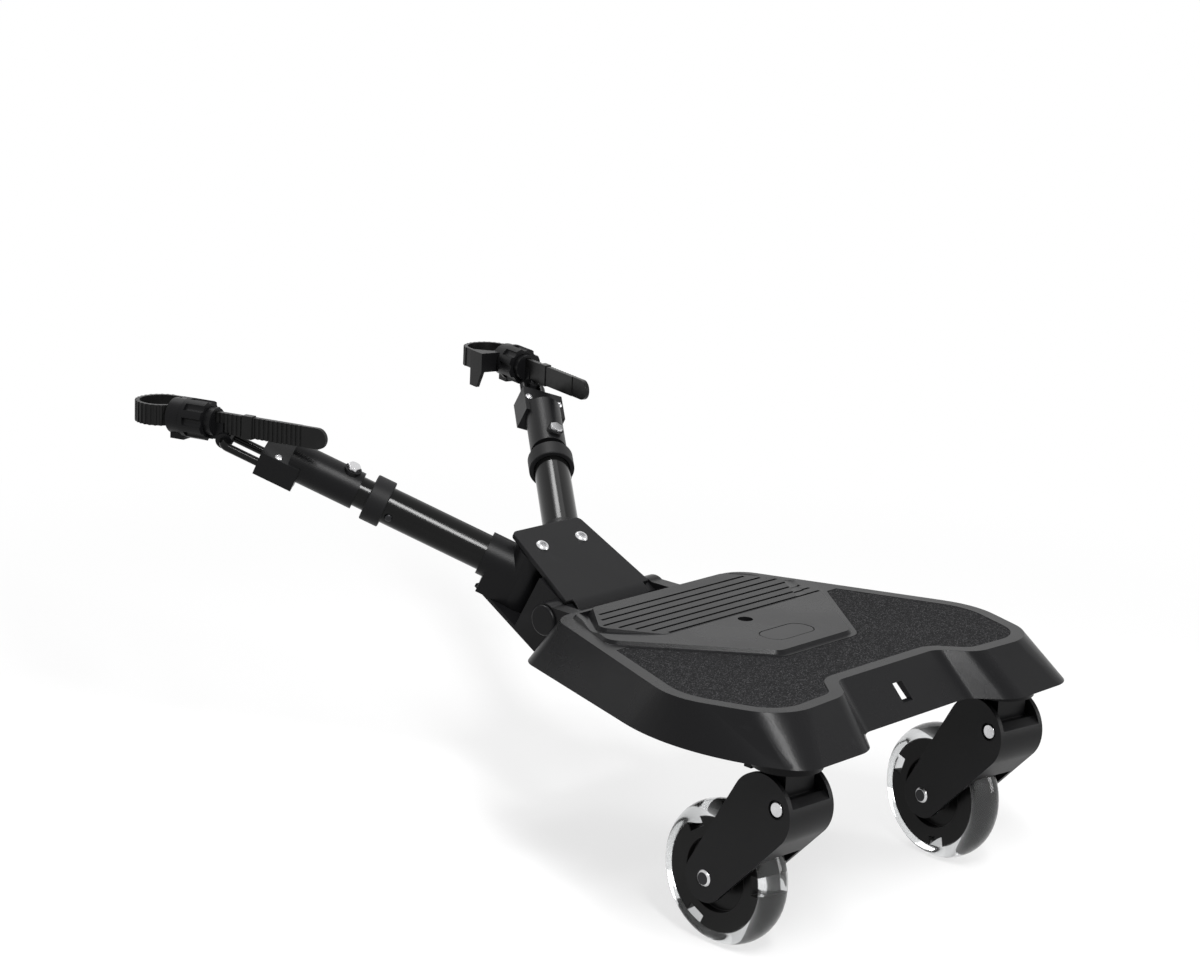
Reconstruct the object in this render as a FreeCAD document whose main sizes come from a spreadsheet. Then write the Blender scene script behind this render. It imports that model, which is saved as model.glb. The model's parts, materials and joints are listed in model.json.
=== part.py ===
import FreeCAD, Part
import math
import os
import re
import Sketcher
from FreeCAD import Placement, Rotation, Vector

# Buggy board: a deck on two sprung casters, with two telescopic arms that strap to a stroller.
# Millimetres. +Y points forward to the stroller, +X to the right, +Z up. The origin is on the
# ground, in the middle of the board's whole length and width.

X_AXIS = Vector(1, 0, 0)
Y_AXIS = Vector(0, 1, 0)
Z_AXIS = Vector(0, 0, 1)
AXES = {"x": X_AXIS, "y": Y_AXIS, "z": Z_AXIS}
SIDES = {"left": -1, "right": 1}

# Driving dimensions, one cell each
SIZES = {
    # Clearances: between bodies, on running shafts, in seats; and how far a cutting tool passes a face
    "body_gap": 0.3,
    "run_gap": 0.05,
    "seat_gap": 0.05,
    "cut_over": 1.0,
    # Distance from the caster line to the origin
    "origin_ahead": 290.67,
    # Deck: corners of the top edge, then of the skirt's lower edge
    "deck_top": 180.0,
    "deck_low": 151.0,
    "deck_wall": 4.0,
    "front_x": 99.0,
    "front_y": 244.0,
    "side_x": 168.0,
    "side_y": 72.0,
    "rear_x": 140.0,
    "rear_y": -2.0,
    "lobe_x": 74.0,
    "lobe_y": 2.0,
    "notch_x": 54.0,
    "notch_y": 25.0,
    "skirt_front_x": 119.0,
    "skirt_front_y": 256.0,
    "skirt_side_x": 187.3,
    "skirt_side_y": 49.4,
    "skirt_rear_x": 146.6,
    "skirt_rear_y": -28.0,
    "skirt_lobe_x": 82.0,
    "skirt_lobe_y": -28.0,
    "skirt_notch_x": 57.0,
    "skirt_notch_y": -3.0,
    "front_round": 24.0,
    "side_round": 60.0,
    "rear_round": 38.0,
    "lobe_round": 25.0,
    "notch_round": 14.0,
    "skirt_side_round": 158.0,
    "skirt_rear_round": 24.0,
    # Raised panel and the grooved toe ramp on it
    "panel_rise": 2.5,
    "panel_front_x": 88.0,
    "panel_front_y": 240.0,
    "panel_tip_x": 117.0,
    "panel_tip_y": 178.0,
    "panel_rear_x": 40.0,
    "panel_rear_y": 84.0,
    "panel_round": 14.0,
    "panel_draft": 3.0,
    "ramp_rise": 2.5,
    "ramp_start_y": 160.0,
    "ramp_front_x": 72.0,
    "ramp_front_y": 237.0,
    "ramp_tip_x": 103.0,
    "ramp_tip_y": 200.0,
    "ramp_rear_x": 73.0,
    "ramp_round": 10.0,
    "ramp_side": 7.0,
    "valley_width": 8.0,
    "valley_depth": 3.0,
    "valley_foot": 1.0,
    "valley_front_y": 235.0,
    "groove_count": 7,
    "groove_first_y": 163.5,
    "groove_pitch": 9.3,
    "groove_width": 2.4,
    "groove_depth": 1.8,
    "groove_inset": 8.0,
    "groove_right": 99.0,
    "hole_y": 151.0,
    "hole_r": 5.5,
    "cap_y": 113.0,
    "cap_length": 46.0,
    "cap_width": 22.0,
    "cap_flat": 1.1,
    "cap_depth": 2.0,
    "cap_gap": 0.5,
    "skirt_hole_z": 164.5,
    "skirt_hole_width": 10.0,
    "skirt_hole_height": 11.0,
    "tape_rim": 10.0,
    "tape_panel_gap": 3.0,
    "tape_front_y": 164.0,
    "tape_thick": 0.8,
    "tape_recess": 1.0,
    "tape_gap": 0.3,
    # Coupling hinge on the deck's front
    "hinge_y": 290.0,
    "hinge_z": 160.0,
    "hinge_r": 13.0,
    "ear_in": 48.0,
    "ear_out": 60.0,
    "ear_foot_y": 236.0,
    "ear_low": 11.0,
    "pin_r": 4.0,
    "pin_bore_r": 1.3,
    "cap_r": 11.5,
    "cap_thick": 2.5,
    "cap_dome": 1.2,
    # Casters, measured from the swivel axis; turns are the angles they stand at
    "caster_x": 119.0,
    "caster_y": 8.0,
    "turn_left": -3.0,
    "turn_right": -8.0,
    "wheel_r": 50.0,
    "axle_y": 52.3,
    "axle_r": 4.0,
    "axle_bore": 3.0,
    "axle_head_r": 6.0,
    "axle_head": 1.4,
    "bolt_rise": 5.0,
    "barrel_room": 2.5,
    "bolt_r": 4.0,
    "bolt_head_r": 5.0,
    "bolt_head": 1.8,
    "counterbore_r": 6.6,
    "counterbore": 2.0,
    "fork_half": 21.4,
    "plate": 3.5,
    "fork_top_y": 6.0,
    "fork_top_z": 111.0,
    "fork_top_r": 26.0,
    "fork_low_r": 17.0,
    "web_open": 5.0,
    "web_to": 27.0,
    "bridge_y": 17.0,
    "bridge_width": 16.0,
    "bridge_z": 108.0,
    "bridge_thick": 4.0,
    "buffer_r": 7.0,
    "buffer_bore_r": 2.3,
    "buffer_skin": 2.0,
    "flange_r": 24.0,
    "flange_y": 4.0,
    "flange_low": 139.3,
    "flange_high": 146.0,
    "barrel_r": 6.5,
    "neck_back": -8.0,
    "neck_front": 10.0,
    "neck_half": 14.0,
    "nose_back": 24.5,
    "nose_front": 31.0,
    "nose_low": 133.0,
    "nose_half": 12.0,
    "stem_r": 6.0,
    "stem_low": 128.0,
    "stem_high": 172.0,
    "stem_point": 1.0,
    "bush_r": 8.5,
    "bush_flange_r": 14.0,
    "bush_flange": 2.0,
    "thrust_gap": 0.2,
    "boss_r": 16.5,
    "boss_room": 1.5,
    # Wheel
    "core_r": 40.5,
    "core_half": 11.0,
    "core_foot_r": 33.0,
    "lobe_count": 3,
    "lobe_gap": 13.0,
    "phase_left": 86.0,
    "phase_right": 48.4,
    "hub_r": 14.0,
    "hub_recess_r": 26.0,
    "hub_recess": 5.0,
    "bearing_r": 11.0,
    "bearing_width": 7.0,
    "bearing_lip": 2.0,
    "tyre_half": 12.5,
    "tyre_step": 3.0,
    # Coupling block, in its own tilted frame: forward from the hinge, up from the hinge
    "block_pitch": 29.0,
    "cover_low": 11.0,
    "cover_thick": 4.0,
    "cover_front_half": 36.0,
    "cover_rear_half": 45.0,
    "cover_length": 76.0,
    "cover_round": 5.0,
    "cover_rear_round": 1.0,
    "wrap_half": 38.0,
    "floor_low": -40.0,
    "floor_thick": 3.0,
    "floor_half": 45.0,
    "floor_length": 78.0,
    "floor_back": -4.0,
    "rear_wall": 12.0,
    "mid_web": 5.0,
    "mid_web_end": 72.0,
    "cheek_in": 34.0,
    "cheek_end": 30.0,
    "arm_x": 21.0,
    "arm_y": 56.0,
    "arm_bolt_r": 4.0,
    "arm_bolt_head_r": 5.5,
    "arm_bolt_head": 2.0,
    "arm_nut_r": 7.0,
    "arm_nut": 4.0,
    # Arms, measured from the arm bolt along the tube
    "arm_yaw": 35.4,
    "socket_boss_r": 18.0,
    "socket_r": 17.0,
    "socket_end": 36.0,
    "socket_foot": 30.0,
    "tube_start": 21.0,
    "tube_end": 124.0,
    "tube_r": 14.0,
    "tube_wall": 2.0,
    "collar_start": 117.0,
    "collar_end": 132.0,
    "collar_r": 18.0,
    "inner_start": 42.0,
    "inner_end": 184.0,
    "inner_wall": 1.6,
    "button_at": 112.0,
    "button_r": 3.0,
    "button_proud": 1.6,
    "button_foot_r": 4.2,
    "button_foot": 1.2,
    "button_travel": 2.5,
    "slide_out": 50.0,
    "slide_in": 7.0,
    "connector_start": 141.0,
    "connector_end": 196.0,
    "connector_r": 14.5,
    "cross_at": 151.0,
    "cross_r": 3.0,
    "cross_head_r": 4.5,
    "cross_head": 3.0,
    "cross_boss_r": 6.5,
    "cross_boss": 2.0,
    "cross_end": 1.0,
    "jaw_start": 186.0,
    "jaw_end": 217.0,
    "jaw_half": 17.0,
    "jaw_high": 5.0,
    "jaw_split": -10.5,
    "jaw_low": -15.5,
    "screw_at": 204.0,
    "screw_side": 13.2,
    "screw_r": 1.5,
    "screw_head_r": 3.2,
    "screw_top_r": 1.6,
    "screw_head": 1.6,
    "tab_length": 5.0,
    "tab_half": 5.7,
    "tab_drop": 2.0,
    "bail_r": 3.2,
    "bail_start": 196.0,
    "bail_end": 247.0,
    "bail_side": 7.8,
    "bail_bend": 5.0,
    # Strap clamp, measured from the cradle's back face along the strap
    "strap_yaw": 16.0,
    "strap_tilt": 0.0,
    "lug_back": 33.0,
    "lug_drop": 12.5,
    "lug_r": 6.5,
    "lug_half": 3.0,
    "sleeve_r": 10.6,
    "sleeve_back": 26.0,
    "flange_thick": 12.0,
    "cradle_r": 13.5,
    "strap_half": 8.0,
    "strap_thick": 2.6,
    "rib_proud": 0.9,
    "rib_width": 2.0,
    "rib_pitch": 4.0,
    "slot_gap": 0.3,
    "tail_length": 122.0,
    "tip_length": 21.0,
    "tube_seat_r": 16.5,
    "seat_side": -8.0,
    "seat_ahead": 30.0,
    "pad_half": 8.0,
    "pad_back": 4.0,
    "pad_side": 27.5,
    "pad_tab": 3.0,
    "foot_half": 6.0,
    "foot_low": -16.5,
    "pad_tab_drop": 14.0,
    "knob_r": 15.0,
    "knob_back": 20.0,
    "knob_flutes": 8,
    "flute_r": 3.6,
    "flute_in": 1.6,
    "flute_depth": 16.0,
}

doc = FreeCAD.newDocument("buggy_board")
sheet = doc.addObject("Spreadsheet::Sheet", "sizes")
for row, (alias, number) in enumerate(SIZES.items(), start=1):
    sheet.set("A%d" % row, alias)
    sheet.set("B%d" % row, str(number))
    sheet.setAlias("B%d" % row, alias)
doc.recompute()

nodes = []


def size(alias):
    return float(sheet.get(alias))


def bind(obj, **properties):
    """Bind each property to an expression written with the sheet's aliases."""
    for name, text in properties.items():
        obj.setExpression(name.replace("__", "."), re.sub(r"[a-z]\w*", r"sizes.\g<0>", text))


def box(x, y, z):
    """Block between low and high expressions along each axis."""
    obj = doc.addObject("Part::Box", "block")
    bind(obj, Length="%s - (%s)" % (x[1], x[0]), Width="%s - (%s)" % (y[1], y[0]))
    bind(obj, Height="%s - (%s)" % (z[1], z[0]))
    bind(obj, Placement__Base__x=x[0], Placement__Base__y=y[0], Placement__Base__z=z[0])
    return obj


def place_along(obj, axis, start, centre):
    """Turn a round primitive to an axis, with its foot at start and centre on the other two axes."""
    obj.Placement = Placement(Vector(), Rotation(Z_AXIS, AXES[axis]))
    others = [name for name in "xyz" if name != axis]
    spots = {axis: start, others[0]: centre[0], others[1]: centre[1]}
    for name, text in spots.items():
        bind(obj, **{"Placement__Base__" + name: text})
    return obj


def rod(axis, radius, start, end, centre=("0", "0")):
    obj = doc.addObject("Part::Cylinder", "rod")
    bind(obj, Radius=radius, Height="%s - (%s)" % (end, start))
    return place_along(obj, axis, start, centre)


def cone(axis, radius_start, radius_end, start, end, centre=("0", "0")):
    obj = doc.addObject("Part::Cone", "cone")
    bind(obj, Radius1=radius_start, Radius2=radius_end, Height="%s - (%s)" % (end, start))
    return place_along(obj, axis, start, centre)


def fuse(pieces):
    obj = doc.addObject("Part::MultiFuse", "joined")
    obj.Shapes = pieces
    obj.Refine = True
    return obj


def cut(base, tools):
    obj = doc.addObject("Part::Cut", "cut")
    obj.Base = base
    obj.Tool = tools[0] if len(tools) == 1 else fuse(tools)
    return obj


def group(pieces):
    """Separate solids that share one node."""
    obj = doc.addObject("Part::Compound", "group")
    obj.Links = pieces
    return obj


def shaped(shape):
    obj = doc.addObject("Part::Feature", "shaped")
    obj.Shape = shape
    return obj


def node(label, obj, frame):
    """Name a finished sub-part and set it in its frame."""
    obj.Label = label
    obj.Placement = frame
    nodes.append(obj)
    return obj


# Outlines of straight edges and tangent arcs

def mirrored(half):
    return half + [(-x, y, radius) for x, y, radius in reversed(half)]


def rounded_wire(corners, z):
    """Closed wire through corners (x, y, radius), each rounded by a tangent arc."""
    edges = []
    stops = []
    for index, (x, y, radius) in enumerate(corners):
        here = Vector(x, y, z)
        before = Vector(corners[index - 1][0], corners[index - 1][1], z)
        after = Vector(corners[(index + 1) % len(corners)][0], corners[(index + 1) % len(corners)][1], z)
        back = (before - here).normalize()
        ahead = (after - here).normalize()
        half_angle = back.getAngle(ahead) / 2
        reach = radius / math.tan(half_angle)
        middle = (back + ahead).normalize()
        centre = here + middle * (radius / math.sin(half_angle))
        stops.append((here + back * reach, centre - middle * radius, here + ahead * reach))
    for index, (start, crest, end) in enumerate(stops):
        edges.append(Part.Arc(start, crest, end).toShape())
        edges.append(Part.LineSegment(end, stops[(index + 1) % len(stops)][0]).toShape())
    return Part.Wire(edges)


def inset(corners, distance):
    """Move every edge of the outline inwards; a negative distance moves it outwards."""
    count = len(corners)
    area = sum(corners[i - 1][0] * corners[i][1] - corners[i][0] * corners[i - 1][1] for i in range(count))
    turn = 1 if area > 0 else -1
    moved = []
    for index, (x, y, radius) in enumerate(corners):
        before = corners[index - 1]
        after = corners[(index + 1) % count]
        first = Vector(x - before[0], y - before[1], 0).normalize()
        second = Vector(after[0] - x, after[1] - y, 0).normalize()
        first_in = Vector(-first.y, first.x, 0) * turn
        second_in = Vector(-second.y, second.x, 0) * turn
        shift = (first_in + second_in) * (distance / (1 + first_in.dot(second_in)))
        bends_in = first.cross(second).z * turn > 0
        moved.append((x + shift.x, y + shift.y, radius - distance if bends_in else radius + distance))
    return moved


def prism(corners, low, high):
    return Part.Face(rounded_wire(corners, low)).extrude(Vector(0, 0, high - low))


def tapered(corners_low, low, corners_high, high):
    return Part.makeLoft([rounded_wire(corners_low, low), rounded_wire(corners_high, high)], True, True)


def named_corners(prefix, names, rounds):
    return [(size(prefix + name + "_x"), size(prefix + name + "_y"), size(rounds % name)) for name in names]


# Deck

board_frame = Placement(Vector(0, -size("origin_ahead"), 0), Rotation())
deck_edge = ["front", "side", "rear", "lobe", "notch"]
deck_corners = mirrored(named_corners("", deck_edge, "%s_round"))
skirt_half = named_corners("skirt_", deck_edge, "%s_round")
for place, name in ((1, "skirt_side"), (2, "skirt_rear")):
    skirt_half[place] = (size(name + "_x"), size(name + "_y"), size(name + "_round"))
skirt_corners = mirrored(skirt_half)
panel_half = [(size("panel_%s_x" % name), size("panel_%s_y" % name), size("panel_round"))
              for name in ["front", "tip", "rear"]]
panel_corners = mirrored(panel_half)
ramp_corners = mirrored([
    (size("ramp_front_x"), size("ramp_front_y"), size("ramp_round")),
    (size("ramp_tip_x"), size("ramp_tip_y"), size("ramp_round")),
    (size("ramp_rear_x"), size("ramp_start_y"), size("ramp_round")),
])
deck_top = size("deck_top")
deck_low = size("deck_low")
panel_top = deck_top + size("panel_rise")
ramp_run = size("ramp_front_y") - size("ramp_start_y")
ramp_frame = Placement(Vector(0, size("ramp_start_y"), panel_top),
                       Rotation(X_AXIS, math.degrees(math.atan2(size("ramp_rise"), ramp_run))))


def deck_shell():
    """Hollow tray: top plate and flared skirt."""
    wall = size("deck_wall")
    outside = tapered(skirt_corners, deck_low, deck_corners, deck_top)
    inside = tapered(inset(skirt_corners, wall), deck_low, inset(deck_corners, wall), deck_top - wall)
    return outside.cut(inside)


def toe_ramp():
    """Grooved ramp that rises to the front of the panel, with sloped sides."""
    height = size("ramp_rise") + size("panel_rise")
    block = tapered(ramp_corners, deck_top, inset(ramp_corners, size("ramp_side")), deck_top + 2 * height)
    span = 4 * size("side_x")
    above = Part.makeBox(span, span, span, Vector(-span / 2, -span / 2, 0))
    above.Placement = ramp_frame
    return block.cut(above)


def valley():
    """Hollow beside the ramp, deepest at the front corners and running out towards the rear."""
    low = panel_top - size("valley_depth")
    height = 2 * (size("ramp_rise") + size("panel_rise"))
    slope = size("ramp_side") / height
    brim = panel_top + size("cut_over") / 2
    foot, lip = inset(ramp_corners, -size("valley_foot")), inset(ramp_corners, -size("valley_width"))
    bowl = tapered(foot, low, lip, brim)
    core = tapered(inset(ramp_corners, slope * (low - deck_top)), low, inset(ramp_corners, size("ramp_side")),
                   deck_top + height)
    span = 4 * size("side_x")
    floor_tilt = math.degrees(math.atan2(size("valley_depth"), ramp_run))
    above = Part.makeBox(span, span, span, Vector(-span / 2, 0, 0))
    above.Placement = Placement(Vector(0, size("ramp_start_y"), panel_top), Rotation(X_AXIS, -floor_tilt))
    front = Part.makeBox(span, span, span, Vector(-span / 2, size("valley_front_y"), 0))
    return bowl.cut([core, front]).common(above)


def grooves():
    """Straight grooves across the ramp; those behind its widest part run on to the right."""
    cuts = []
    front_x, front_y = size("ramp_front_x"), size("ramp_front_y")
    tip_x, tip_y = size("ramp_tip_x"), size("ramp_tip_y")
    rear_x, rear_y = size("ramp_rear_x"), size("ramp_start_y")
    for index in range(int(size("groove_count"))):
        y = size("groove_first_y") + index * size("groove_pitch")
        if y > tip_y:
            edge = front_x + (tip_x - front_x) * (front_y - y) / (front_y - tip_y)
        else:
            edge = rear_x + (tip_x - rear_x) * (y - rear_y) / (tip_y - rear_y)
        left = edge - size("groove_inset")
        right = left if y > tip_y else size("groove_right")
        depth = size("groove_depth")
        corner = Vector(-left, y - size("ramp_start_y") - size("groove_width") / 2, -depth)
        groove = Part.makeBox(left + right, size("groove_width"), 2 * depth, corner)
        groove.Placement = ramp_frame
        cuts.append(groove)
    return cuts


def tape_sheet(gap, low, high):
    """U-shaped sheet behind and beside the panel; gap widens it into its recess."""
    edge = Part.Face(rounded_wire(inset(deck_corners, size("tape_rim") - gap), low))
    panel = Part.Face(rounded_wire(inset(panel_corners, gap - size("tape_panel_gap")), low))
    span = 4 * size("side_x")
    front = Part.makePlane(span, span, Vector(-span / 2, size("tape_front_y") + gap, low))
    return edge.cut(panel).cut(front).extrude(Vector(0, 0, high - low))


def cap_blank(gap, low, high):
    """Obround insert in the panel."""
    half_width = size("cap_width") / 2 + gap
    half_length = size("cap_length") / 2 + gap
    y = size("cap_y")
    end_round = half_width - size("cap_flat")
    corners = [(half_length, y + half_width, end_round), (half_length, y - half_width, end_round)]
    return prism(mirrored(corners), low, high)


def hinge_ears():
    """Two knuckles that carry the hinge pin ahead of the deck, each on a web from the skirt."""
    ears = []
    width = size("ear_out") - size("ear_in")
    for side in SIDES.values():
        start = size("ear_in") if side > 0 else -size("ear_out")
        axis_at = Vector(start, size("hinge_y"), size("hinge_z"))
        knuckle = Part.makeCylinder(size("hinge_r"), width, axis_at, X_AXIS)
        length = size("hinge_y") - size("ear_foot_y")
        foot = Vector(start, size("ear_foot_y"), size("hinge_z") - size("ear_low"))
        ears.append(knuckle.fuse(Part.makeBox(width, length, 2 * size("ear_low"), foot)))
    return ears


def caster_spots():
    return [Vector(side * size("caster_x"), size("caster_y"), 0) for side in SIDES.values()]


def deck_board():
    wall, over = size("deck_wall"), size("cut_over")
    boss_low = size("flange_high") + size("thrust_gap") + size("bush_flange")
    bush_top = size("stem_high") + size("boss_room")
    tape_floor = deck_top - size("tape_recess")
    adds = [tapered(panel_corners, tape_floor, inset(panel_corners, size("panel_draft")), panel_top)]
    adds.append(toe_ramp())
    adds.extend(hinge_ears())
    outside = tapered(skirt_corners, deck_low, deck_corners, deck_top)
    for spot in caster_spots():
        foot = Part.makeCylinder(size("boss_r"), deck_low + over - boss_low, spot + Z_AXIS * boss_low)
        pillar = Part.makeCylinder(size("boss_r"), deck_top - wall / 2 - deck_low, spot + Z_AXIS * deck_low)
        adds.extend([foot, pillar.common(outside)])
    board = deck_shell().fuse(adds)
    cuts = grooves()
    cuts.append(valley())
    cuts.append(tape_sheet(size("tape_gap"), tape_floor, deck_top + size("tape_recess")))
    cuts.append(cap_blank(size("cap_gap"), panel_top - size("cap_depth"), panel_top + size("cap_depth")))
    cuts.append(Part.makeCylinder(size("hole_r"), deck_top, Vector(0, size("hole_y"), deck_top / 2)))
    half = size("skirt_hole_width") / 2
    low = size("skirt_hole_z") - size("skirt_hole_height") / 2
    reach = size("notch_y") - size("skirt_notch_y") + 4 * wall
    foot = Vector(-half, size("skirt_notch_y") - wall, low)
    cuts.append(Part.makeBox(2 * half, reach, size("skirt_hole_height"), foot))
    pin_half = size("ear_out") + over
    pin_start = Vector(-pin_half, size("hinge_y"), size("hinge_z"))
    cuts.append(Part.makeCylinder(size("pin_r") + size("seat_gap"), 2 * pin_half, pin_start, X_AXIS))
    for spot in caster_spots():
        foot = spot + Z_AXIS * boss_low
        cuts.append(Part.makeCylinder(size("bush_r") + size("seat_gap"), bush_top - boss_low, foot))
    return board.cut(cuts).removeSplitter()


node("deck_board", shaped(deck_board()), board_frame)
tape_low = deck_top - size("tape_recess")
node("grip_tape", shaped(tape_sheet(0, tape_low, tape_low + size("tape_thick"))), board_frame)
node("blanking_cap", shaped(cap_blank(0, panel_top - size("cap_depth"), panel_top)), board_frame)

bushes = []
for spot_x in ["-caster_x", "caster_x"]:
    at = (spot_x, "caster_y")
    flange_low = "flange_high + thrust_gap"
    sleeve = rod("z", "bush_r", flange_low, "stem_high", at)
    flange = rod("z", "bush_flange_r", flange_low, flange_low + " + bush_flange", at)
    bore = rod("z", "stem_r + run_gap", flange_low + " - cut_over", "stem_high + cut_over", at)
    bushes.append(cut(fuse([sleeve, flange]), [bore]))
node("caster_bushes", group(bushes), board_frame)

pin_at = ("hinge_y", "hinge_z")
pin_body = rod("x", "pin_r", "-ear_out", "ear_out", pin_at)
pin_bore = rod("x", "pin_bore_r", "-ear_out - cut_over", "-ear_out + pin_r", pin_at)
node("hinge_pin", cut(pin_body, [pin_bore]), board_frame)

hinge_caps = []
for sign in ["-", ""]:
    face = sign + "ear_out"
    rim = sign + "(ear_out + cap_thick - cap_dome)"
    crest = sign + "(ear_out + cap_thick)"
    low, high = (rim, face) if sign else (face, rim)
    disc = rod("x", "cap_r", low, high, pin_at)
    if sign:
        dome = cone("x", "cap_r - cap_dome", "cap_r", crest, rim, pin_at)
    else:
        dome = cone("x", "cap_r", "cap_r - cap_dome", rim, crest, pin_at)
    hinge_caps.append(fuse([disc, dome]))
node("hinge_caps", group(hinge_caps), board_frame)


# Casters: local x across the wheel, y towards the axle, z up from the ground

# The bolt sits inside the fork's rear web, with the head's barrel round it
BOLT_Y = "(fork_top_y - fork_top_r + plate + barrel_r + barrel_room)"
BOLT_Z = "(fork_top_z + bolt_rise)"
bolt_y = size("fork_top_y") - size("fork_top_r") + size("plate") + size("barrel_r") + size("barrel_room")
bolt_z = size("fork_top_z") + size("bolt_rise")


def fork_outline(shrink):
    """Two circles and their common tangents, in the fork's plane."""
    top = Vector(0, size("fork_top_y"), size("fork_top_z"))
    low = Vector(0, size("axle_y"), size("wheel_r"))
    top_r = size("fork_top_r") - shrink
    low_r = size("fork_low_r") - shrink
    along = (low - top).normalize()
    across = X_AXIS.cross(along)
    lean = math.acos((top_r - low_r) / (low - top).Length)
    ahead = along * math.cos(lean) + across * math.sin(lean)
    behind = along * math.cos(lean) - across * math.sin(lean)
    edges = [
        Part.LineSegment(top + ahead * top_r, low + ahead * low_r).toShape(),
        Part.Arc(low + ahead * low_r, low + along * low_r, low + behind * low_r).toShape(),
        Part.LineSegment(low + behind * low_r, top + behind * top_r).toShape(),
        Part.Arc(top + behind * top_r, top - along * top_r, top + ahead * top_r).toShape(),
    ]
    return Part.Face(Part.Wire(edges))


def swing_fork():
    """Two side plates, the web that wraps their rear edge, and the bridge under the buffer."""
    half = size("fork_half")
    plate = size("plate")
    inner = half - plate
    outline = fork_outline(0)
    plates = []
    for start in (-half, inner):
        side = outline.copy()
        side.translate(Vector(start, 0, 0))
        plates.append(side.extrude(Vector(plate, 0, 0)))
    rim = outline.cut(fork_outline(plate))
    rim.translate(Vector(-inner, 0, 0))
    web = rim.extrude(Vector(2 * inner, 0, 0))
    top = Vector(0, size("fork_top_y"), size("fork_top_z"))
    along = (Vector(0, size("axle_y"), size("wheel_r")) - top).normalize()
    span = 4 * size("fork_top_r")
    web_from = size("web_open") - size("fork_top_r")
    keep = Part.makeBox(2 * half, size("web_to") - web_from, span, Vector(-half, web_from, -span))
    keep.Placement = Placement(top, Rotation(Y_AXIS, along))
    web = web.common(keep)
    bridge_foot = Vector(-inner, size("bridge_y") - size("bridge_width") / 2, size("bridge_z"))
    bridge = Part.makeBox(2 * inner, size("bridge_width"), size("bridge_thick"), bridge_foot)
    fork = plates[0].fuse([plates[1], web, bridge])
    reach = half + size("cut_over")
    bolt = Vector(-reach, bolt_y, bolt_z)
    axle = Vector(-reach, size("axle_y"), size("wheel_r"))
    cuts = [Part.makeCylinder(size("bolt_r") + size("seat_gap"), 2 * reach, bolt, X_AXIS)]
    cuts.append(Part.makeCylinder(size("axle_r") + size("seat_gap"), 2 * reach, axle, X_AXIS))
    for start in (-half, half - size("counterbore")):
        seat = Vector(start, bolt_y, bolt_z)
        cuts.append(Part.makeCylinder(size("counterbore_r"), size("counterbore"), seat, X_AXIS))
    return fork.cut(cuts).removeSplitter()


def swivel_head():
    bolt_at = (BOLT_Y, BOLT_Z)
    width = "(fork_half - plate - body_gap)"
    barrel = rod("x", "barrel_r", "-" + width, width, bolt_at)
    neck = box(("-neck_half", "neck_half"), ("neck_back", "neck_front"), (BOLT_Z, "flange_high"))
    flange = rod("z", "flange_r", "flange_low", "flange_high", ("0", "flange_y"))
    nose = box(("-nose_half", "nose_half"), ("nose_back", "nose_front"), ("nose_low", "flange_high"))
    bolt_hole = rod("x", "bolt_r + run_gap", "-fork_half", "fork_half", bolt_at)
    stem_hole = rod("z", "stem_r + seat_gap", "stem_low", "flange_high + cut_over")
    return cut(fuse([barrel, neck, flange, nose]), [bolt_hole, stem_hole])


def fork_bolt():
    at = (BOLT_Y, BOLT_Z)
    shank = rod("x", "bolt_r", "-fork_half + counterbore", "fork_half - counterbore", at)
    left = rod("x", "bolt_head_r", "-fork_half + counterbore - bolt_head", "-fork_half + counterbore", at)
    right = rod("x", "bolt_head_r", "fork_half - counterbore", "fork_half - counterbore + bolt_head", at)
    return fuse([shank, left, right])


def hollow_axle():
    at = ("axle_y", "wheel_r")
    shank = rod("x", "axle_r", "-fork_half - axle_head", "fork_half + axle_head", at)
    left = cone("x", "axle_head_r - axle_head", "axle_head_r", "-fork_half - axle_head", "-fork_half", at)
    right = cone("x", "axle_head_r", "axle_head_r - axle_head", "fork_half", "fork_half + axle_head", at)
    bore = rod("x", "axle_bore", "-fork_half - axle_head - cut_over", "fork_half + axle_head + cut_over", at)
    return cut(fuse([shank, left, right]), [bore])


def origin_item(body, role):
    return [item for item in body.Origin.OriginFeatures if item.Role == role][0]


def cross_sketch(body, plane, offset):
    """Sketch on one of the body's planes, moved along its normal."""
    sketch = body.newObject("Sketcher::SketchObject", "outline")
    sketch.AttachmentSupport = (origin_item(body, plane), [""])
    sketch.MapMode = "FlatFace"
    bind(sketch, AttachmentOffset__Base__z=offset)
    return sketch


def add_circle(sketch, radius, offset=None):
    """Circle on the sketch's vertical axis, offset up from the origin."""
    index = sketch.addGeometry(Part.Circle(Vector(0, 1 if offset else 0, 0), Z_AXIS, 1))
    if offset:
        sketch.addConstraint(Sketcher.Constraint("PointOnObject", index, 3, -2))
        row = sketch.addConstraint(Sketcher.Constraint("DistanceY", -1, 1, index, 3, 1))
        bind(sketch, **{"Constraints[%d]" % row: offset})
    else:
        sketch.addConstraint(Sketcher.Constraint("Coincident", index, 3, -1, 1))
    row = sketch.addConstraint(Sketcher.Constraint("Radius", index, 1))
    bind(sketch, **{"Constraints[%d]" % row: radius})


def pad(body, sketch, length):
    feature = body.newObject("PartDesign::Pad", "pad")
    feature.Profile = sketch
    bind(feature, Length=length)
    return feature


def pocket(body, sketch, length):
    feature = body.newObject("PartDesign::Pocket", "pocket")
    feature.Profile = sketch
    bind(feature, Length=length)
    return feature


def polar(body, original, axis, count):
    feature = body.newObject("PartDesign::PolarPattern", "pattern")
    feature.Originals = [original]
    feature.Axis = (origin_item(body, axis), [""])
    feature.Angle = 360
    bind(feature, Occurrences=count)
    body.Tip = feature
    return feature


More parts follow.
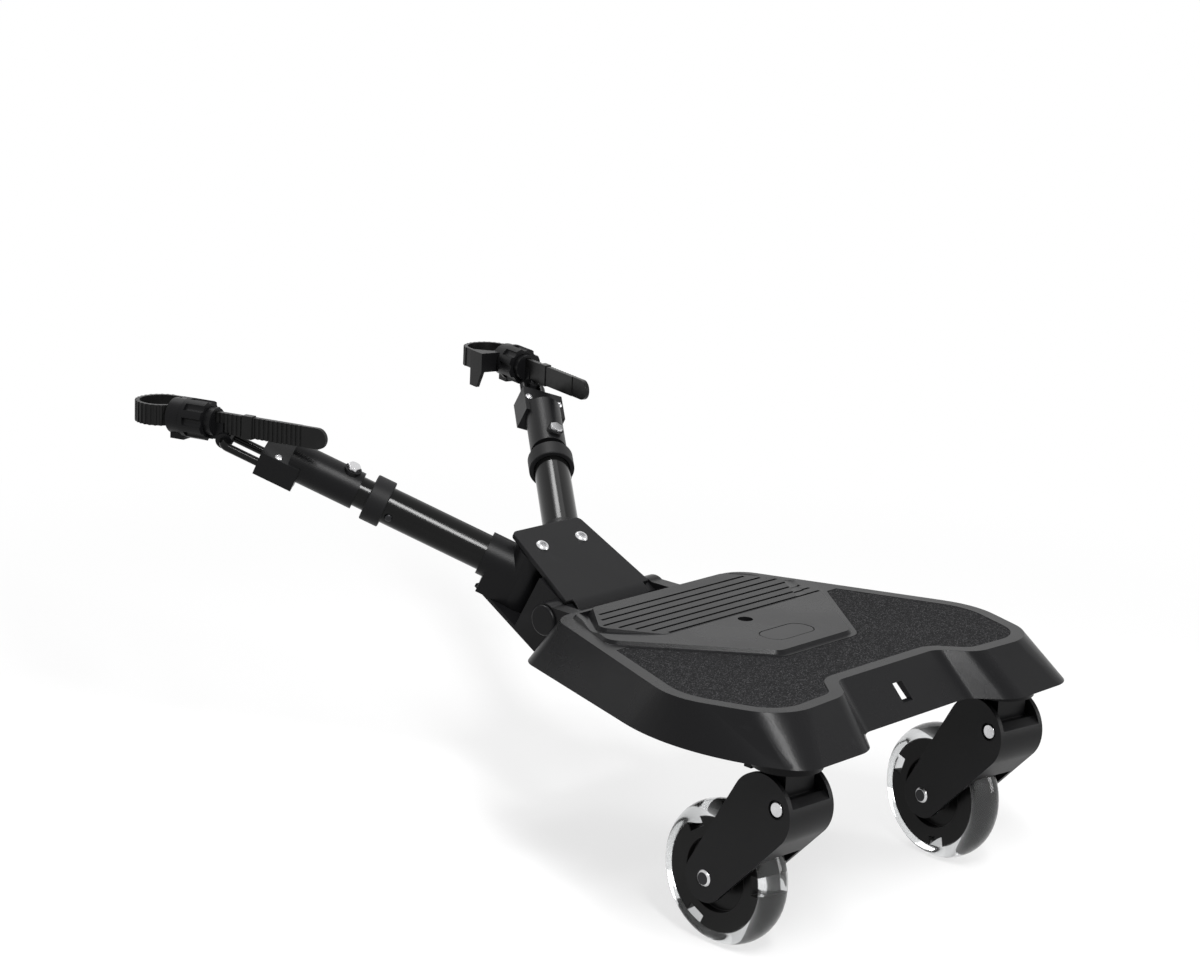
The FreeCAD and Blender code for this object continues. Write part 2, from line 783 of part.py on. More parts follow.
def wheel_core():
    """Disc with notched rim, hub recess on both sides and seats for two bearings."""
    body = doc.addObject("PartDesign::Body", "core")
    disc = cross_sketch(body, "YZ_Plane", "-core_half")
    add_circle(disc, "core_r")
    pad(body, disc, "2 * core_half")
    notch = cross_sketch(body, "YZ_Plane", "core_half")
    half = size("lobe_gap") / 2
    foot, rim = size("core_foot_r"), size("core_r") + half
    points = [Vector(-half, foot, 0), Vector(half, foot, 0), Vector(half, rim, 0), Vector(-half, rim, 0)]
    for index in range(4):
        notch.addGeometry(Part.LineSegment(points[index], points[(index + 1) % 4]))
    for index in range(4):
        notch.addConstraint(Sketcher.Constraint("Coincident", index, 2, (index + 1) % 4, 1))
    notch.addConstraint(Sketcher.Constraint("Vertical", 1))
    notch.addConstraint(Sketcher.Constraint("Horizontal", 2))
    notch.addConstraint(Sketcher.Constraint("Vertical", 3))
    notch.addConstraint(Sketcher.Constraint("Symmetric", 0, 1, 0, 2, -2))
    rows = {"lobe_gap": notch.addConstraint(Sketcher.Constraint("DistanceX", 0, 1, 0, 2, 2 * half))}
    rows["core_foot_r"] = notch.addConstraint(Sketcher.Constraint("DistanceY", -1, 1, 0, 1, foot))
    rows["core_r + lobe_gap / 2"] = notch.addConstraint(Sketcher.Constraint("DistanceY", -1, 1, 2, 1, rim))
    for text, row in rows.items():
        bind(notch, **{"Constraints[%d]" % row: text})
    polar(body, pocket(body, notch, "2 * core_half"), "X_Axis", "lobe_count")
    for offset, depth in (("core_half", "hub_recess"), ("hub_recess - core_half", "hub_recess")):
        recess = cross_sketch(body, "YZ_Plane", offset)
        add_circle(recess, "hub_recess_r")
        add_circle(recess, "hub_r")
        pocket(body, recess, depth)
    for offset in ("core_half", "bearing_width - core_half"):
        seat = cross_sketch(body, "YZ_Plane", offset)
        add_circle(seat, "bearing_r + seat_gap")
        pocket(body, seat, "bearing_width")
    bore = cross_sketch(body, "YZ_Plane", "core_half")
    add_circle(bore, "bearing_r - bearing_lip")
    body.Tip = pocket(body, bore, "2 * core_half")
    return body


def tyre_blank():
    """Ring with a round crown, turned about the axle, before the core is cut out of it."""
    half, shoulder = size("tyre_half"), size("core_r")
    foot, core_half = size("core_foot_r"), size("core_half")
    step = shoulder - size("tyre_step")
    left = [Vector(-core_half, 0, foot), Vector(-core_half, 0, step), Vector(-half, 0, shoulder)]
    right = [Vector(half, 0, shoulder), Vector(core_half, 0, step), Vector(core_half, 0, foot)]
    edges = [Part.Arc(left[-1], Vector(0, 0, size("wheel_r")), right[0]).toShape()]
    edges.append(Part.LineSegment(right[-1], left[0]).toShape())
    for first, second in zip(left[:-1] + right[:-1], left[1:] + right[1:]):
        edges.append(Part.LineSegment(first, second).toShape())
    edges = Part.__sortEdges__(edges)
    return Part.Face(Part.Wire(edges)).revolve(Vector(), X_AXIS, 360)


def caster(side):
    turn = Rotation(Z_AXIS, size("turn_" + side))
    spot = Vector(SIDES[side] * size("caster_x"), size("caster_y") - size("origin_ahead"), 0)
    frame = Placement(spot, turn)
    node("swivel_head_" + side, swivel_head(), frame)
    point_low = "stem_high - stem_point"
    stem = rod("z", "stem_r", "stem_low", point_low)
    stem_point = cone("z", "stem_r", "stem_r - stem_point", point_low, "stem_high")
    node("swivel_stem_" + side, fuse([stem, stem_point]), frame)
    node("swing_fork_" + side, shaped(swing_fork()), frame)
    node("fork_bolt_" + side, fork_bolt(), frame)
    bridge_top = "bridge_z + bridge_thick"
    pad_body = rod("z", "buffer_r", bridge_top, "flange_low", ("0", "bridge_y"))
    hollow_low, hollow_high = bridge_top + " + buffer_skin", "flange_low - buffer_skin"
    waist = rod("z", "buffer_bore_r", hollow_low, hollow_high, ("0", "bridge_y"))
    node("buffer_" + side, cut(pad_body, [waist]), frame)
    node("axle_" + side, hollow_axle(), frame)
    phase = Rotation(X_AXIS, size("phase_" + side))
    wheel_frame = frame.multiply(Placement(Vector(0, size("axle_y"), size("wheel_r")), phase))
    core = node("wheel_core_" + side, wheel_core(), wheel_frame)
    blank = shaped(tyre_blank())
    blank.Placement = wheel_frame
    node("tyre_" + side, cut(blank, [core]), Placement())
    rings = []
    spans = [("-core_half", "bearing_width - core_half"), ("core_half - bearing_width", "core_half")]
    for low, high in spans:
        ring = rod("x", "bearing_r", low, high)
        rings.append(cut(ring, [rod("x", "axle_r + run_gap", low + " - cut_over", high + " + cut_over")]))
    node("bearings_" + side, group(rings), wheel_frame)


for side_name in SIDES:
    caster(side_name)


# Coupling block: local y forward from the hinge along its floor, z up from the hinge

block_frame = Placement(Vector(0, size("hinge_y") - size("origin_ahead"), size("hinge_z")),
                        Rotation(X_AXIS, size("block_pitch")))


def block_housing():
    floor_top = "floor_low + floor_thick"
    barrel_end = "(ear_in - body_gap)"
    barrel = rod("x", "hinge_r", "-" + barrel_end, barrel_end)
    floor_plate = box(("-floor_half", "floor_half"), ("floor_back", "floor_length"), ("floor_low", floor_top))
    wall = box(("-cheek_in", "cheek_in"), ("floor_back", "rear_wall"), (floor_top, "0"))
    web_y = ("rear_wall - cut_over", "mid_web_end")
    web = box(("-mid_web / 2", "mid_web / 2"), web_y, (floor_top, "cover_low"))
    pieces = [barrel, floor_plate, wall, web]
    for sides in (("-floor_half", "-cheek_in"), ("cheek_in", "floor_half")):
        pieces.append(box(sides, ("floor_back", "cheek_end"), (floor_top, "cover_low")))
    cuts = [rod("x", "pin_r + run_gap", "-ear_in", "ear_in")]
    past_barrel = "hinge_r + cut_over"
    cuts.append(box(("-ear_in", "ear_in"), ("-hinge_r - cut_over", past_barrel), ("cover_low", past_barrel)))
    for x in ("-arm_x", "arm_x"):
        hole_high = floor_top + " + cut_over"
        cuts.append(rod("z", "arm_bolt_r + seat_gap", "floor_low - cut_over", hole_high, (x, "arm_y")))
    return cut(fuse(pieces), cuts)


def block_cover():
    """Flat top plate whose rear edge wraps down over the hinge barrel."""
    low = size("cover_low")
    top = low + size("cover_thick")
    half = [(size("cover_front_half"), size("cover_length"), size("cover_round"))]
    half.append((size("cover_rear_half"), 0, size("cover_rear_round")))
    plate = prism(mirrored(half), low, top)
    width = 2 * size("wrap_half")
    start = Vector(-size("wrap_half"), 0, 0)
    wrap = Part.makeCylinder(top, width, start, X_AXIS)
    wrap = wrap.cut(Part.makeCylinder(size("hinge_r") + size("seat_gap"), width, start, X_AXIS))
    quarter = Part.makeBox(width, top, top, start - Y_AXIS * top)
    cover = plate.fuse(wrap.common(quarter))
    holes = []
    for side in SIDES.values():
        foot = Vector(side * size("arm_x"), size("arm_y"), low - size("cut_over"))
        height = size("cover_thick") + 2 * size("cut_over")
        holes.append(Part.makeCylinder(size("arm_bolt_r") + size("seat_gap"), height, foot))
    return cover.cut(holes).removeSplitter()


node("block_housing", block_housing(), block_frame)
node("block_cover", shaped(block_cover()), block_frame)

arm_bolts = []
for bolt_x in ("-arm_x", "arm_x"):
    at = (bolt_x, "arm_y")
    cover_top = "cover_low + cover_thick"
    shank = rod("z", "arm_bolt_r", "floor_low - arm_nut", cover_top + " + arm_bolt_head", at)
    head = cone("z", "arm_bolt_head_r", "arm_bolt_r", cover_top, cover_top + " + arm_bolt_head", at)
    nut = rod("z", "arm_nut_r", "floor_low - arm_nut", "floor_low", at)
    arm_bolts.append(fuse([shank, head, nut]))
node("arm_bolts", group(arm_bolts), block_frame)


# Arms: local x outwards across the arm, y along the tube from the bolt, z up square to the block

arm_axis = (size("cover_low") + size("floor_low") + size("floor_thick")) / 2


def arm_frame(side):
    sign = SIDES[side]
    spot = Vector(sign * size("arm_x"), size("arm_y"), arm_axis)
    return block_frame.multiply(Placement(spot, Rotation(Z_AXIS, -sign * size("arm_yaw"))))


def arm_socket():
    half = "((cover_low - floor_low - floor_thick) / 2 - body_gap)"
    boss = rod("z", "socket_boss_r", "-" + half, half)
    sleeve = rod("y", "socket_r", "0", "socket_end")
    foot = box(("-socket_r", "socket_r"), ("0", "socket_foot"), ("-" + half, "0"))
    seat = rod("y", "tube_r + seat_gap", "tube_start", "socket_end + cut_over")
    hole = rod("z", "arm_bolt_r + run_gap", "-" + half + " - cut_over", half + " + cut_over")
    return cut(fuse([boss, sleeve, foot]), [seat, hole])


def outer_tube(out):
    body = rod("y", "tube_r", "tube_start", "tube_end")
    bore = rod("y", "tube_r - tube_wall", "tube_start - cut_over", "tube_end + cut_over")
    low, high = ("0", "tube_r + cut_over") if out > 0 else ("-tube_r - cut_over", "0")
    hole = rod("x", "button_r + run_gap", low, high, ("button_at", "0"))
    return cut(body, [bore, hole])


def tube_collar():
    ring = rod("y", "collar_r", "collar_start", "collar_end")
    seat = rod("y", "tube_r + seat_gap", "collar_start - cut_over", "tube_end")
    bore = rod("y", "tube_r - tube_wall", "tube_end - cut_over", "collar_end + cut_over")
    return cut(ring, [seat, bore])


def inner_tube(out):
    """Sliding tube with a long slot that the snap button rides in."""
    inner_r = "(tube_r - tube_wall - body_gap)"
    body = rod("y", inner_r, "inner_start", "inner_end")
    bore = rod("y", inner_r + " - inner_wall", "inner_start - cut_over", "inner_end + cut_over")
    x = ("0", "tube_r") if out > 0 else ("-tube_r", "0")
    half = "(button_r + body_gap)"
    slot = box(x, ("button_at - slide_out - " + half, "button_at + slide_in + " + half), ("-" + half, half))
    cross = rod("z", "cross_r + seat_gap", "-tube_r", "tube_r", ("0", "cross_at"))
    return cut(body, [bore, slot, cross])


def snap_button(out):
    at = ("button_at", "0")
    inside = "(tube_r - tube_wall - body_gap - inner_wall - button_travel / 2)"
    crest = "(tube_r + button_proud)"
    foot = "(%s - button_foot)" % inside
    dome = "(%s - button_proud / 2)" % crest
    if out > 0:
        stem = rod("x", "button_r", foot, dome, at)
        top = cone("x", "button_r", "button_r - button_proud / 2", dome, crest, at)
        flange = rod("x", "button_foot_r", foot, inside, at)
    else:
        stem = rod("x", "button_r", "-" + dome, "-" + foot, at)
        top = cone("x", "button_r - button_proud / 2", "button_r", "-" + crest, "-" + dome, at)
        flange = rod("x", "button_foot_r", "-" + inside, "-" + foot, at)
    return fuse([stem, top, flange])


def connector():
    """Moulded end on the inner tube: sleeve, cross-bolt boss and upper jaw of the bail clamp."""
    inner_r = "(tube_r - tube_wall - body_gap)"
    sleeve = rod("y", "connector_r", "connector_start", "connector_end")
    jaw = box(("-jaw_half", "jaw_half"), ("jaw_start", "jaw_end"), ("jaw_split", "jaw_high"))
    boss = rod("z", "cross_boss_r", "0", "connector_r + cross_boss", ("0", "cross_at"))
    bore = rod("y", inner_r + " + seat_gap", "connector_start - cut_over", "inner_end")
    cross_end = "connector_r + cross_boss + cut_over"
    cross = rod("z", "cross_r + seat_gap", "-connector_r - cut_over", cross_end, ("0", "cross_at"))
    under_z = ("-connector_r - cut_over", "jaw_split")
    under = box(("-jaw_half", "jaw_half"), ("jaw_start", "jaw_end + cut_over"), under_z)
    cuts = [bore, cross, under]
    for x in ("-bail_side", "bail_side"):
        cuts.append(rod("y", "bail_r + seat_gap", "bail_start", "jaw_end + cut_over", (x, "jaw_split")))
    for x in ("-screw_side", "screw_side"):
        at = (x, "screw_at")
        cuts.append(rod("z", "screw_r + seat_gap", "jaw_split - cut_over", "jaw_high + cut_over", at))
    return cut(fuse([sleeve, jaw, boss]), cuts)


def clamp_plate():
    """Lower jaw, with a small tab at its back edge."""
    plate = box(("-jaw_half", "jaw_half"), ("jaw_start", "jaw_end"), ("jaw_low", "jaw_split"))
    tab_z = ("jaw_low - tab_drop", "jaw_low")
    tab = box(("-tab_half", "tab_half"), ("jaw_start", "jaw_start + tab_length"), tab_z)
    cuts = []
    for x in ("-bail_side", "bail_side"):
        cuts.append(rod("y", "bail_r + seat_gap", "bail_start", "jaw_end + cut_over", (x, "jaw_split")))
    for x in ("-screw_side", "screw_side"):
        at = (x, "screw_at")
        cuts.append(rod("z", "screw_r + seat_gap", "jaw_low - cut_over", "jaw_split + cut_over", at))
    return cut(fuse([plate, tab]), cuts)


def cross_bolt():
    at = ("0", "cross_at")
    shank = rod("z", "cross_r", "-connector_r - cross_end", "connector_r + cross_boss", at)
    head = rod("z", "cross_head_r", "connector_r + cross_boss", "connector_r + cross_boss + cross_head", at)
    return fuse([shank, head])


def clamp_screws():
    screws = []
    for x in ("-screw_side", "screw_side"):
        at = (x, "screw_at")
        shank = rod("z", "screw_r", "jaw_low", "jaw_high", at)
        head = cone("z", "screw_head_r", "screw_top_r", "jaw_high", "jaw_high + screw_head", at)
        screws.append(fuse([shank, head]))
    return group(screws)


def bail():
    """Round rod bent to a U, its legs clamped between the jaws."""
    side, bend = size("bail_side"), size("bail_bend")
    start, end, level = size("bail_start"), size("bail_end"), size("jaw_split")
    lean = bend * math.sqrt(0.5)
    edges = [Part.LineSegment(Vector(-side, start, level), Vector(-side, end - bend, level)).toShape()]
    centre = Vector(-side + bend, end - bend, level)
    edges.append(Part.Arc(Vector(-side, end - bend, level), centre + Vector(-lean, lean, 0),
                          Vector(-side + bend, end, level)).toShape())
    bar = [Vector(-side + bend, end, level), Vector(side - bend, end, level)]
    edges.append(Part.LineSegment(*bar).toShape())
    centre = Vector(side - bend, end - bend, level)
    edges.append(Part.Arc(Vector(side - bend, end, level), centre + Vector(lean, lean, 0),
                          Vector(side, end - bend, level)).toShape())
    edges.append(Part.LineSegment(Vector(side, end - bend, level), Vector(side, start, level)).toShape())
    section = Part.Wire(Part.Circle(Vector(-side, start, level), Y_AXIS, size("bail_r")).toShape())
    return Part.Wire(edges).makePipeShell([section], True, True)


# Strap clamps: local x outwards, y forward along the strap, z up; the strap runs through the origin

def strap_frame(side):
    """Frame turned and tilted on the bail, with the cradle's lug on the bail's cross-bar."""
    bar = arm_frame(side).multVec(Vector(0, size("bail_end"), size("jaw_split")))
    turn = Rotation(Z_AXIS, -SIDES[side] * size("strap_yaw"))
    turn = turn.multiply(Rotation(X_AXIS, size("strap_tilt")))
    lug = turn.multVec(Vector(0, -size("lug_back"), -size("lug_drop")))
    return Placement(bar - lug, turn)


def handed(shape, side):
    """A right-hand shape, mirrored for the left."""
    return shape if SIDES[side] > 0 else shape.mirror(Vector(), X_AXIS)


seat_centre = Vector(size("seat_side"), size("seat_ahead"), 0)
# V-shaped seat: where its two faces would meet, and how far its outer face reaches forward
seat_apex = size("seat_ahead") - size("tube_seat_r") * math.sqrt(2)
pad_front = seat_apex + size("seat_side") + size("pad_side") - size("pad_tab")


def cradle_body():
    """Right-hand housing: sleeve for the knob, flange, foot, and the pad that seats the stroller's tube."""
    front = size("flange_thick")
    edge = -size("pad_side")
    seat_x = size("seat_side")
    half = size("pad_half")
    length = size("sleeve_back")
    sleeve = Part.makeCylinder(size("sleeve_r"), length, Vector(0, -length, 0), Y_AXIS)
    flange = Part.makeCylinder(size("cradle_r"), front, Vector(), Y_AXIS)
    back = size("pad_back")
    outline = [(edge, back), (seat_x, back), (seat_x, front), (seat_x - (front - seat_apex), front)]
    outline.extend([(edge + size("pad_tab"), pad_front), (edge, pad_front)])
    points = [Vector(x, y, -half) for x, y in outline]
    pad_block = Part.Face(Part.makePolygon(points + points[:1])).extrude(Z_AXIS * (2 * half))
    drop = -half - size("pad_tab_drop")
    tab_points = [Vector(edge, back, -half), Vector(edge, pad_front, -half)]
    tab_points.extend([Vector(edge, pad_front, drop), Vector(edge, front, drop)])
    tab = Part.Face(Part.makePolygon(tab_points + tab_points[:1])).extrude(X_AXIS * size("pad_tab"))
    foot_half = size("foot_half")
    foot = Part.makeBox(2 * foot_half, front, -size("foot_low"), Vector(-foot_half, 0, size("foot_low")))
    return sleeve.fuse([flange, pad_block, tab, foot])


def cradle(side):
    """Housing with the lug that turns on the bail, and the slot the strap runs through."""
    local = strap_frame(side).inverse().multiply(arm_frame(side))
    bar = local.multVec(Vector(0, size("bail_end"), size("jaw_split")))
    bar_axis = local.Rotation.multVec(X_AXIS)
    half = size("lug_half")
    lug = Part.makeCylinder(size("lug_r"), 2 * half, bar - bar_axis * half, bar_axis)
    neck_reach = size("lug_back") - size("knob_back") - size("body_gap")
    neck = Part.makeBox(2 * half, neck_reach, size("lug_drop"), Vector(-half, bar.y, bar.z))
    body = handed(cradle_body(), side).fuse([lug, neck])
    slot_x = size("strap_thick") / 2 + size("rib_proud") + size("slot_gap")
    slot_z = size("strap_half") + size("slot_gap")
    length = 2 * size("tail_length")
    slot = Part.makeBox(2 * slot_x, length, 2 * slot_z, Vector(-slot_x, -length / 2, -slot_z))
    hole_start = bar - bar_axis * (2 * half)
    hole = Part.makeCylinder(size("bail_r") + size("run_gap"), 4 * half, hole_start, bar_axis)
    return body.cut([slot, hole])


def strap(side):
    """Ribbed band: rounded tail, straight run through the cradle, and the loop round the tube."""
    thick, half = size("strap_thick"), size("strap_half")
    proud, rib, pitch = size("rib_proud"), size("rib_width"), size("rib_pitch")
    inner = size("tube_seat_r")
    middle = inner + thick / 2
    front = size("flange_thick")
    tail = size("tail_length") - half
    tip_thick = thick + proud
    run = Part.makeBox(thick, tail + front, 2 * half, Vector(-thick / 2, -tail, -half))
    tip = Part.makeCylinder(half, tip_thick, Vector(-tip_thick / 2, -tail, 0), X_AXIS)
    smooth_run = size("tip_length") - half
    smooth = Part.makeBox(tip_thick, smooth_run, 2 * half, Vector(-tip_thick / 2, -tail, -half))
    # the run bends out of the cradle and meets the loop at a tangent on its outer side
    to_centre = seat_centre - Vector(0, front, 0)
    heading = math.asin(middle / to_centre.Length) + math.atan2(to_centre.x, to_centre.y)
    reach = math.sqrt(to_centre.Length ** 2 - middle ** 2)
    lead_frame = Placement(Vector(0, front, 0), Rotation(Z_AXIS, -math.degrees(heading)))
    lead = Part.makeBox(thick, reach, 2 * half, Vector(-thick / 2, 0, -half))
    lead.Placement = lead_frame
    # the loop runs from that tangent point round the front to the inner side
    start = -math.degrees(heading)
    sweep = 180 - start
    loop_frame = Placement(seat_centre, Rotation(Z_AXIS, start))
    hoop = Part.makeCylinder(inner + thick, 2 * half, Vector(0, 0, -half), Z_AXIS, sweep)
    hoop = hoop.cut(Part.makeCylinder(inner, 2 * half, Vector(0, 0, -half)))
    hoop.Placement = loop_frame
    end_y = pad_front + size("seat_gap")
    end_foot = Vector(seat_centre.x - inner - thick, end_y, -half)
    inside = Part.makeBox(thick, size("seat_ahead") - end_y, 2 * half, end_foot)
    pieces = [tip, smooth, lead, hoop, inside]
    run_ribs = int((tail + half - size("tip_length") + front) / pitch)
    for index in range(run_ribs):
        y = front - pitch / 2 - index * pitch
        foot = Vector(-thick / 2 - proud, y - rib, -half)
        pieces.append(Part.makeBox(thick + 2 * proud, rib, 2 * half, foot))
    loop_ribs = int(math.radians(sweep) * middle / pitch)
    for index in range(loop_ribs):
        turn = Rotation(Z_AXIS, start + math.degrees((index + 0.5) * pitch / middle))
        ridge = Part.makeBox(thick / 2 + proud, rib, 2 * half, Vector(middle, -rib / 2, -half))
        ridge.Placement = Placement(seat_centre, turn)
        pieces.append(ridge)
    return handed(run.fuse(pieces).removeSplitter(), side)


def strap_knob():
    """Fluted nut on the cradle's sleeve."""
    body = doc.addObject("PartDesign::Body", "knob")
    disc = cross_sketch(body, "XZ_Plane", "body_gap")
    add_circle(disc, "knob_r")
    add_circle(disc, "sleeve_r + body_gap")
    pad(body, disc, "knob_back - body_gap")
    flute = cross_sketch(body, "XZ_Plane", "knob_back")
    add_circle(flute, "flute_r", "knob_r + flute_in")
    polar(body, pocket(body, flute, "flute_depth"), "Y_Axis", "knob_flutes")
    return body


def arm(side):
    out = SIDES[side]
    frame = arm_frame(side)
    node("arm_socket_" + side, arm_socket(), frame)
    node("outer_tube_" + side, outer_tube(out), frame)
    node("tube_collar_" + side, tube_collar(), frame)
    node("inner_tube_" + side, inner_tube(out), frame)
    node("snap_button_" + side, snap_button(out), frame)
    node("connector_" + side, connector(), frame)
    node("clamp_plate_" + side, clamp_plate(), frame)
    node("cross_bolt_" + side, cross_bolt(), frame)
    node("clamp_screws_" + side, clamp_screws(), frame)
    node("bail_" + side, shaped(bail()), frame)
    clamp = strap_frame(side)
    node("cradle_" + side, shaped(cradle(side)), clamp)
    node("strap_" + side, shaped(strap(side)), clamp)
    node("strap_knob_" + side, strap_knob(), clamp)


for side_name in SIDES:
    arm(side_name)

doc.recompute()

for obj in doc.Objects:
    if "Invalid" in obj.State or "Error" in obj.State:
        raise RuntimeError("%s (%s) is %s" % (obj.Label, obj.Name, obj.State))
os.makedirs("parts", exist_ok=True)
for obj in nodes:
    shape = obj.Shape
    if shape.isNull() or not shape.isValid() or not shape.Solids:
        raise RuntimeError("%s has no valid solid" % obj.Label)
    shape.exportStep(os.path.join("parts", obj.Label + ".step"))
    print("%-22s %d solid(s) %9.0f mm3" % (obj.Label, len(shape.Solids), shape.Volume))
box_all = FreeCAD.BoundBox()
for obj in nodes:
    box_all.add(obj.Shape.BoundBox)
print("whole part %.1f x %.1f x %.1f mm, middle at y %.2f, lowest %.2f" % (
    box_all.XLength, box_all.YLength, box_all.ZLength, box_all.Center.y, box_all.ZMin))
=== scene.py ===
# %% [markdown]
# # Buggy board
# A buggy board is a small platform on two casters that straps to the back of a stroller, so that an
# older child can ride along. The solids of every working part are already made. This lesson dresses
# them: it softens their moulded edges, gives each finish its own grain and gloss, adds the small
# parts that a hand would notice, and lights the whole as in a product photograph.

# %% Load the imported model
import json
import math

import bpy
from mathutils import Matrix, Vector


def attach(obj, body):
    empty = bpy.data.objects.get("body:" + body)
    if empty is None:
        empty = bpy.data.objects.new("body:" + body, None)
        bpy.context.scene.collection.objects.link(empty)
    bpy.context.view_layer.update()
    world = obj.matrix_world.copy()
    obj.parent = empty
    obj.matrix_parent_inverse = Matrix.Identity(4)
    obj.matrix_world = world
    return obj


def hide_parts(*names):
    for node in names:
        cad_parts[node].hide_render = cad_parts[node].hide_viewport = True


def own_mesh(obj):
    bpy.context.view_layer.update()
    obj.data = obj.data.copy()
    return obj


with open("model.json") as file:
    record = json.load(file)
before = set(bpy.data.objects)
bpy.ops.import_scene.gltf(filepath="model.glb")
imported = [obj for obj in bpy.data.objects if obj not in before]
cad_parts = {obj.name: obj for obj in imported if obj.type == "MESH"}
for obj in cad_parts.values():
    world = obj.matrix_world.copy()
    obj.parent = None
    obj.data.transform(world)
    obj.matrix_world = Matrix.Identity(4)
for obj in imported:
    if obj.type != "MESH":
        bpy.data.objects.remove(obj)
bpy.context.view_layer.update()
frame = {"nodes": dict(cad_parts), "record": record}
BEHAVIOUR = frame["record"]["behaviour"]
BODY_OF = {node: body for body, nodes in BEHAVIOUR["bodies"].items() for node in nodes}
JOINTS = {row["name"]: row for row in BEHAVIOUR["joints"]}
SIDES = {"left": -1, "right": 1}
MM = 0.001
bpy.context.scene.view_settings.view_transform = "Standard"
print("nodes:", len(BODY_OF), "joints:", len(JOINTS))

# %% [markdown]
# ## Camera
# The photograph was taken from behind and to the left, a little above the deck, with a long lens.
# The angles below were found by matching the deck's outline, the wheels and the bolts. A camera's
# own axes are right, up and backwards, so its rotation is written straight from those three.

# %% Camera at the photograph's angle
AZIMUTH = math.radians(-47.699)
ELEVATION = math.radians(14.032)
ROLL = math.radians(2.603)
FOCAL_PIXELS = 2904.8
PHOTO_WIDTH = 1200
SENSOR = 36
ACROSS, UPWARDS, AWAY = -0.205404, 0.304998, 2.003759
CASTER_AHEAD = 0.008

level_right = Vector((math.cos(AZIMUTH), math.sin(AZIMUTH), 0))
backward = Vector((math.sin(AZIMUTH) * math.cos(ELEVATION), -math.cos(AZIMUTH) * math.cos(ELEVATION),
                   math.sin(ELEVATION)))
level_up = backward.cross(level_right)
cam_right = level_right * math.cos(ROLL) + level_up * math.sin(ROLL)
cam_up = level_up * math.cos(ROLL) - level_right * math.sin(ROLL)
caster_line = Vector((0, JOINTS["caster_swivel_left"]["pos_m"][1] - CASTER_AHEAD, 0))
cam_place = cam_right * ACROSS + cam_up * UPWARDS + backward * AWAY + caster_line


def axes_at(spot, x, y, z):
    """A matrix that carries a piece's own axes to x, y and z at a spot."""
    return Matrix.Translation(spot) @ Matrix((x, y, z)).transposed().to_4x4()


def deselect():
    bpy.ops.object.select_all(action="DESELECT")


deselect()
bpy.ops.object.camera_add()
camera = bpy.context.object
camera.matrix_world = axes_at(cam_place, cam_right, cam_up, backward)
camera.data.sensor_width = SENSOR
camera.data.lens = FOCAL_PIXELS * SENSOR / PHOTO_WIDTH
bpy.context.scene.camera = camera
print("lens %.1f mm" % camera.data.lens)

# %% [markdown]
# ## Sums in a shader
# A material is a web of nodes. Written by hand each small sum takes a node and two links, which
# hides the idea. One class wraps a socket, so that `1 - mask` or `grain * 0.3` adds its Math node by
# itself, and one method makes every other node.

# %% Wires and finishes
MIX_COLOUR_SOCKETS = (6, 7)
MIX_COLOUR_OUT = 2


class Wire:
    """An output socket that can be used in sums."""

    def __init__(self, finish, socket):
        self.finish = finish
        self.socket = socket

    def __add__(self, other):
        return self.finish.math("ADD", self, other)

    __radd__ = __add__

    def __mul__(self, other):
        return self.finish.math("MULTIPLY", self, other)

    __rmul__ = __mul__

    def __sub__(self, other):
        return self.finish.math("SUBTRACT", self, other)

    def __rsub__(self, other):
        return self.finish.math("SUBTRACT", other, self)


class Finish:
    """A node tree with short ways to feed it."""

    def __init__(self, name):
        self.material = bpy.data.materials.new(name)
        self.material.use_nodes = True
        self.tree = self.material.node_tree
        self.surface = self.tree.nodes["Principled BSDF"]

    def node(self, kind, settings, values, out=0):
        made = self.tree.nodes.new(kind)
        for key, value in settings.items():
            setattr(made, key, value)
        for key, value in values.items():
            self.feed(made.inputs[key], value)
        return Wire(self, made.outputs[out])

    def feed(self, socket, value):
        if isinstance(value, Wire):
            self.tree.links.new(value.socket, socket)
        else:
            socket.default_value = value

    def math(self, operation, *values):
        return self.node("ShaderNodeMath", {"operation": operation}, dict(enumerate(values)))

    def place(self, stretch=(1, 1, 1)):
        spot = self.node("ShaderNodeTexCoord", {}, {}, out="Object")
        return self.node("ShaderNodeMapping", {}, {"Vector": spot, "Scale": stretch})

    def noise(self, scale, detail=3.0, stretch=(1, 1, 1)):
        values = {"Vector": self.place(stretch), "Scale": scale, "Detail": detail}
        return self.node("ShaderNodeTexNoise", {}, values, out="Fac")

    def cells(self, scale, out="Distance"):
        return self.node("ShaderNodeTexVoronoi", {}, {"Vector": self.place(), "Scale": scale}, out=out)

    def band(self, value, low, high):
        """0 below low, 1 above high, and a smooth rise between."""
        return self.node("ShaderNodeMapRange", {"interpolation_type": "SMOOTHSTEP"},
                         {"Value": value, "From Min": low, "From Max": high})

    def mix(self, factor, first, second):
        """Blend of two colours. Mix has several sockets of one name, so they are picked by number."""
        colours = {index: colour if isinstance(colour, Wire) else (*colour, 1)
                   for index, colour in zip(MIX_COLOUR_SOCKETS, (first, second))}
        return self.node("ShaderNodeMix", {"data_type": "RGBA"}, {0: factor, **colours}, out=MIX_COLOUR_OUT)

    def bump(self, height, distance):
        return self.node("ShaderNodeBump", {}, {"Height": height, "Distance": distance})

    def set(self, **values):
        for key, value in values.items():
            self.feed(self.surface.inputs[key.replace("_", " ")], value)


def scaled(colour, factor):
    return tuple(min(1.0, part * factor) for part in colour)


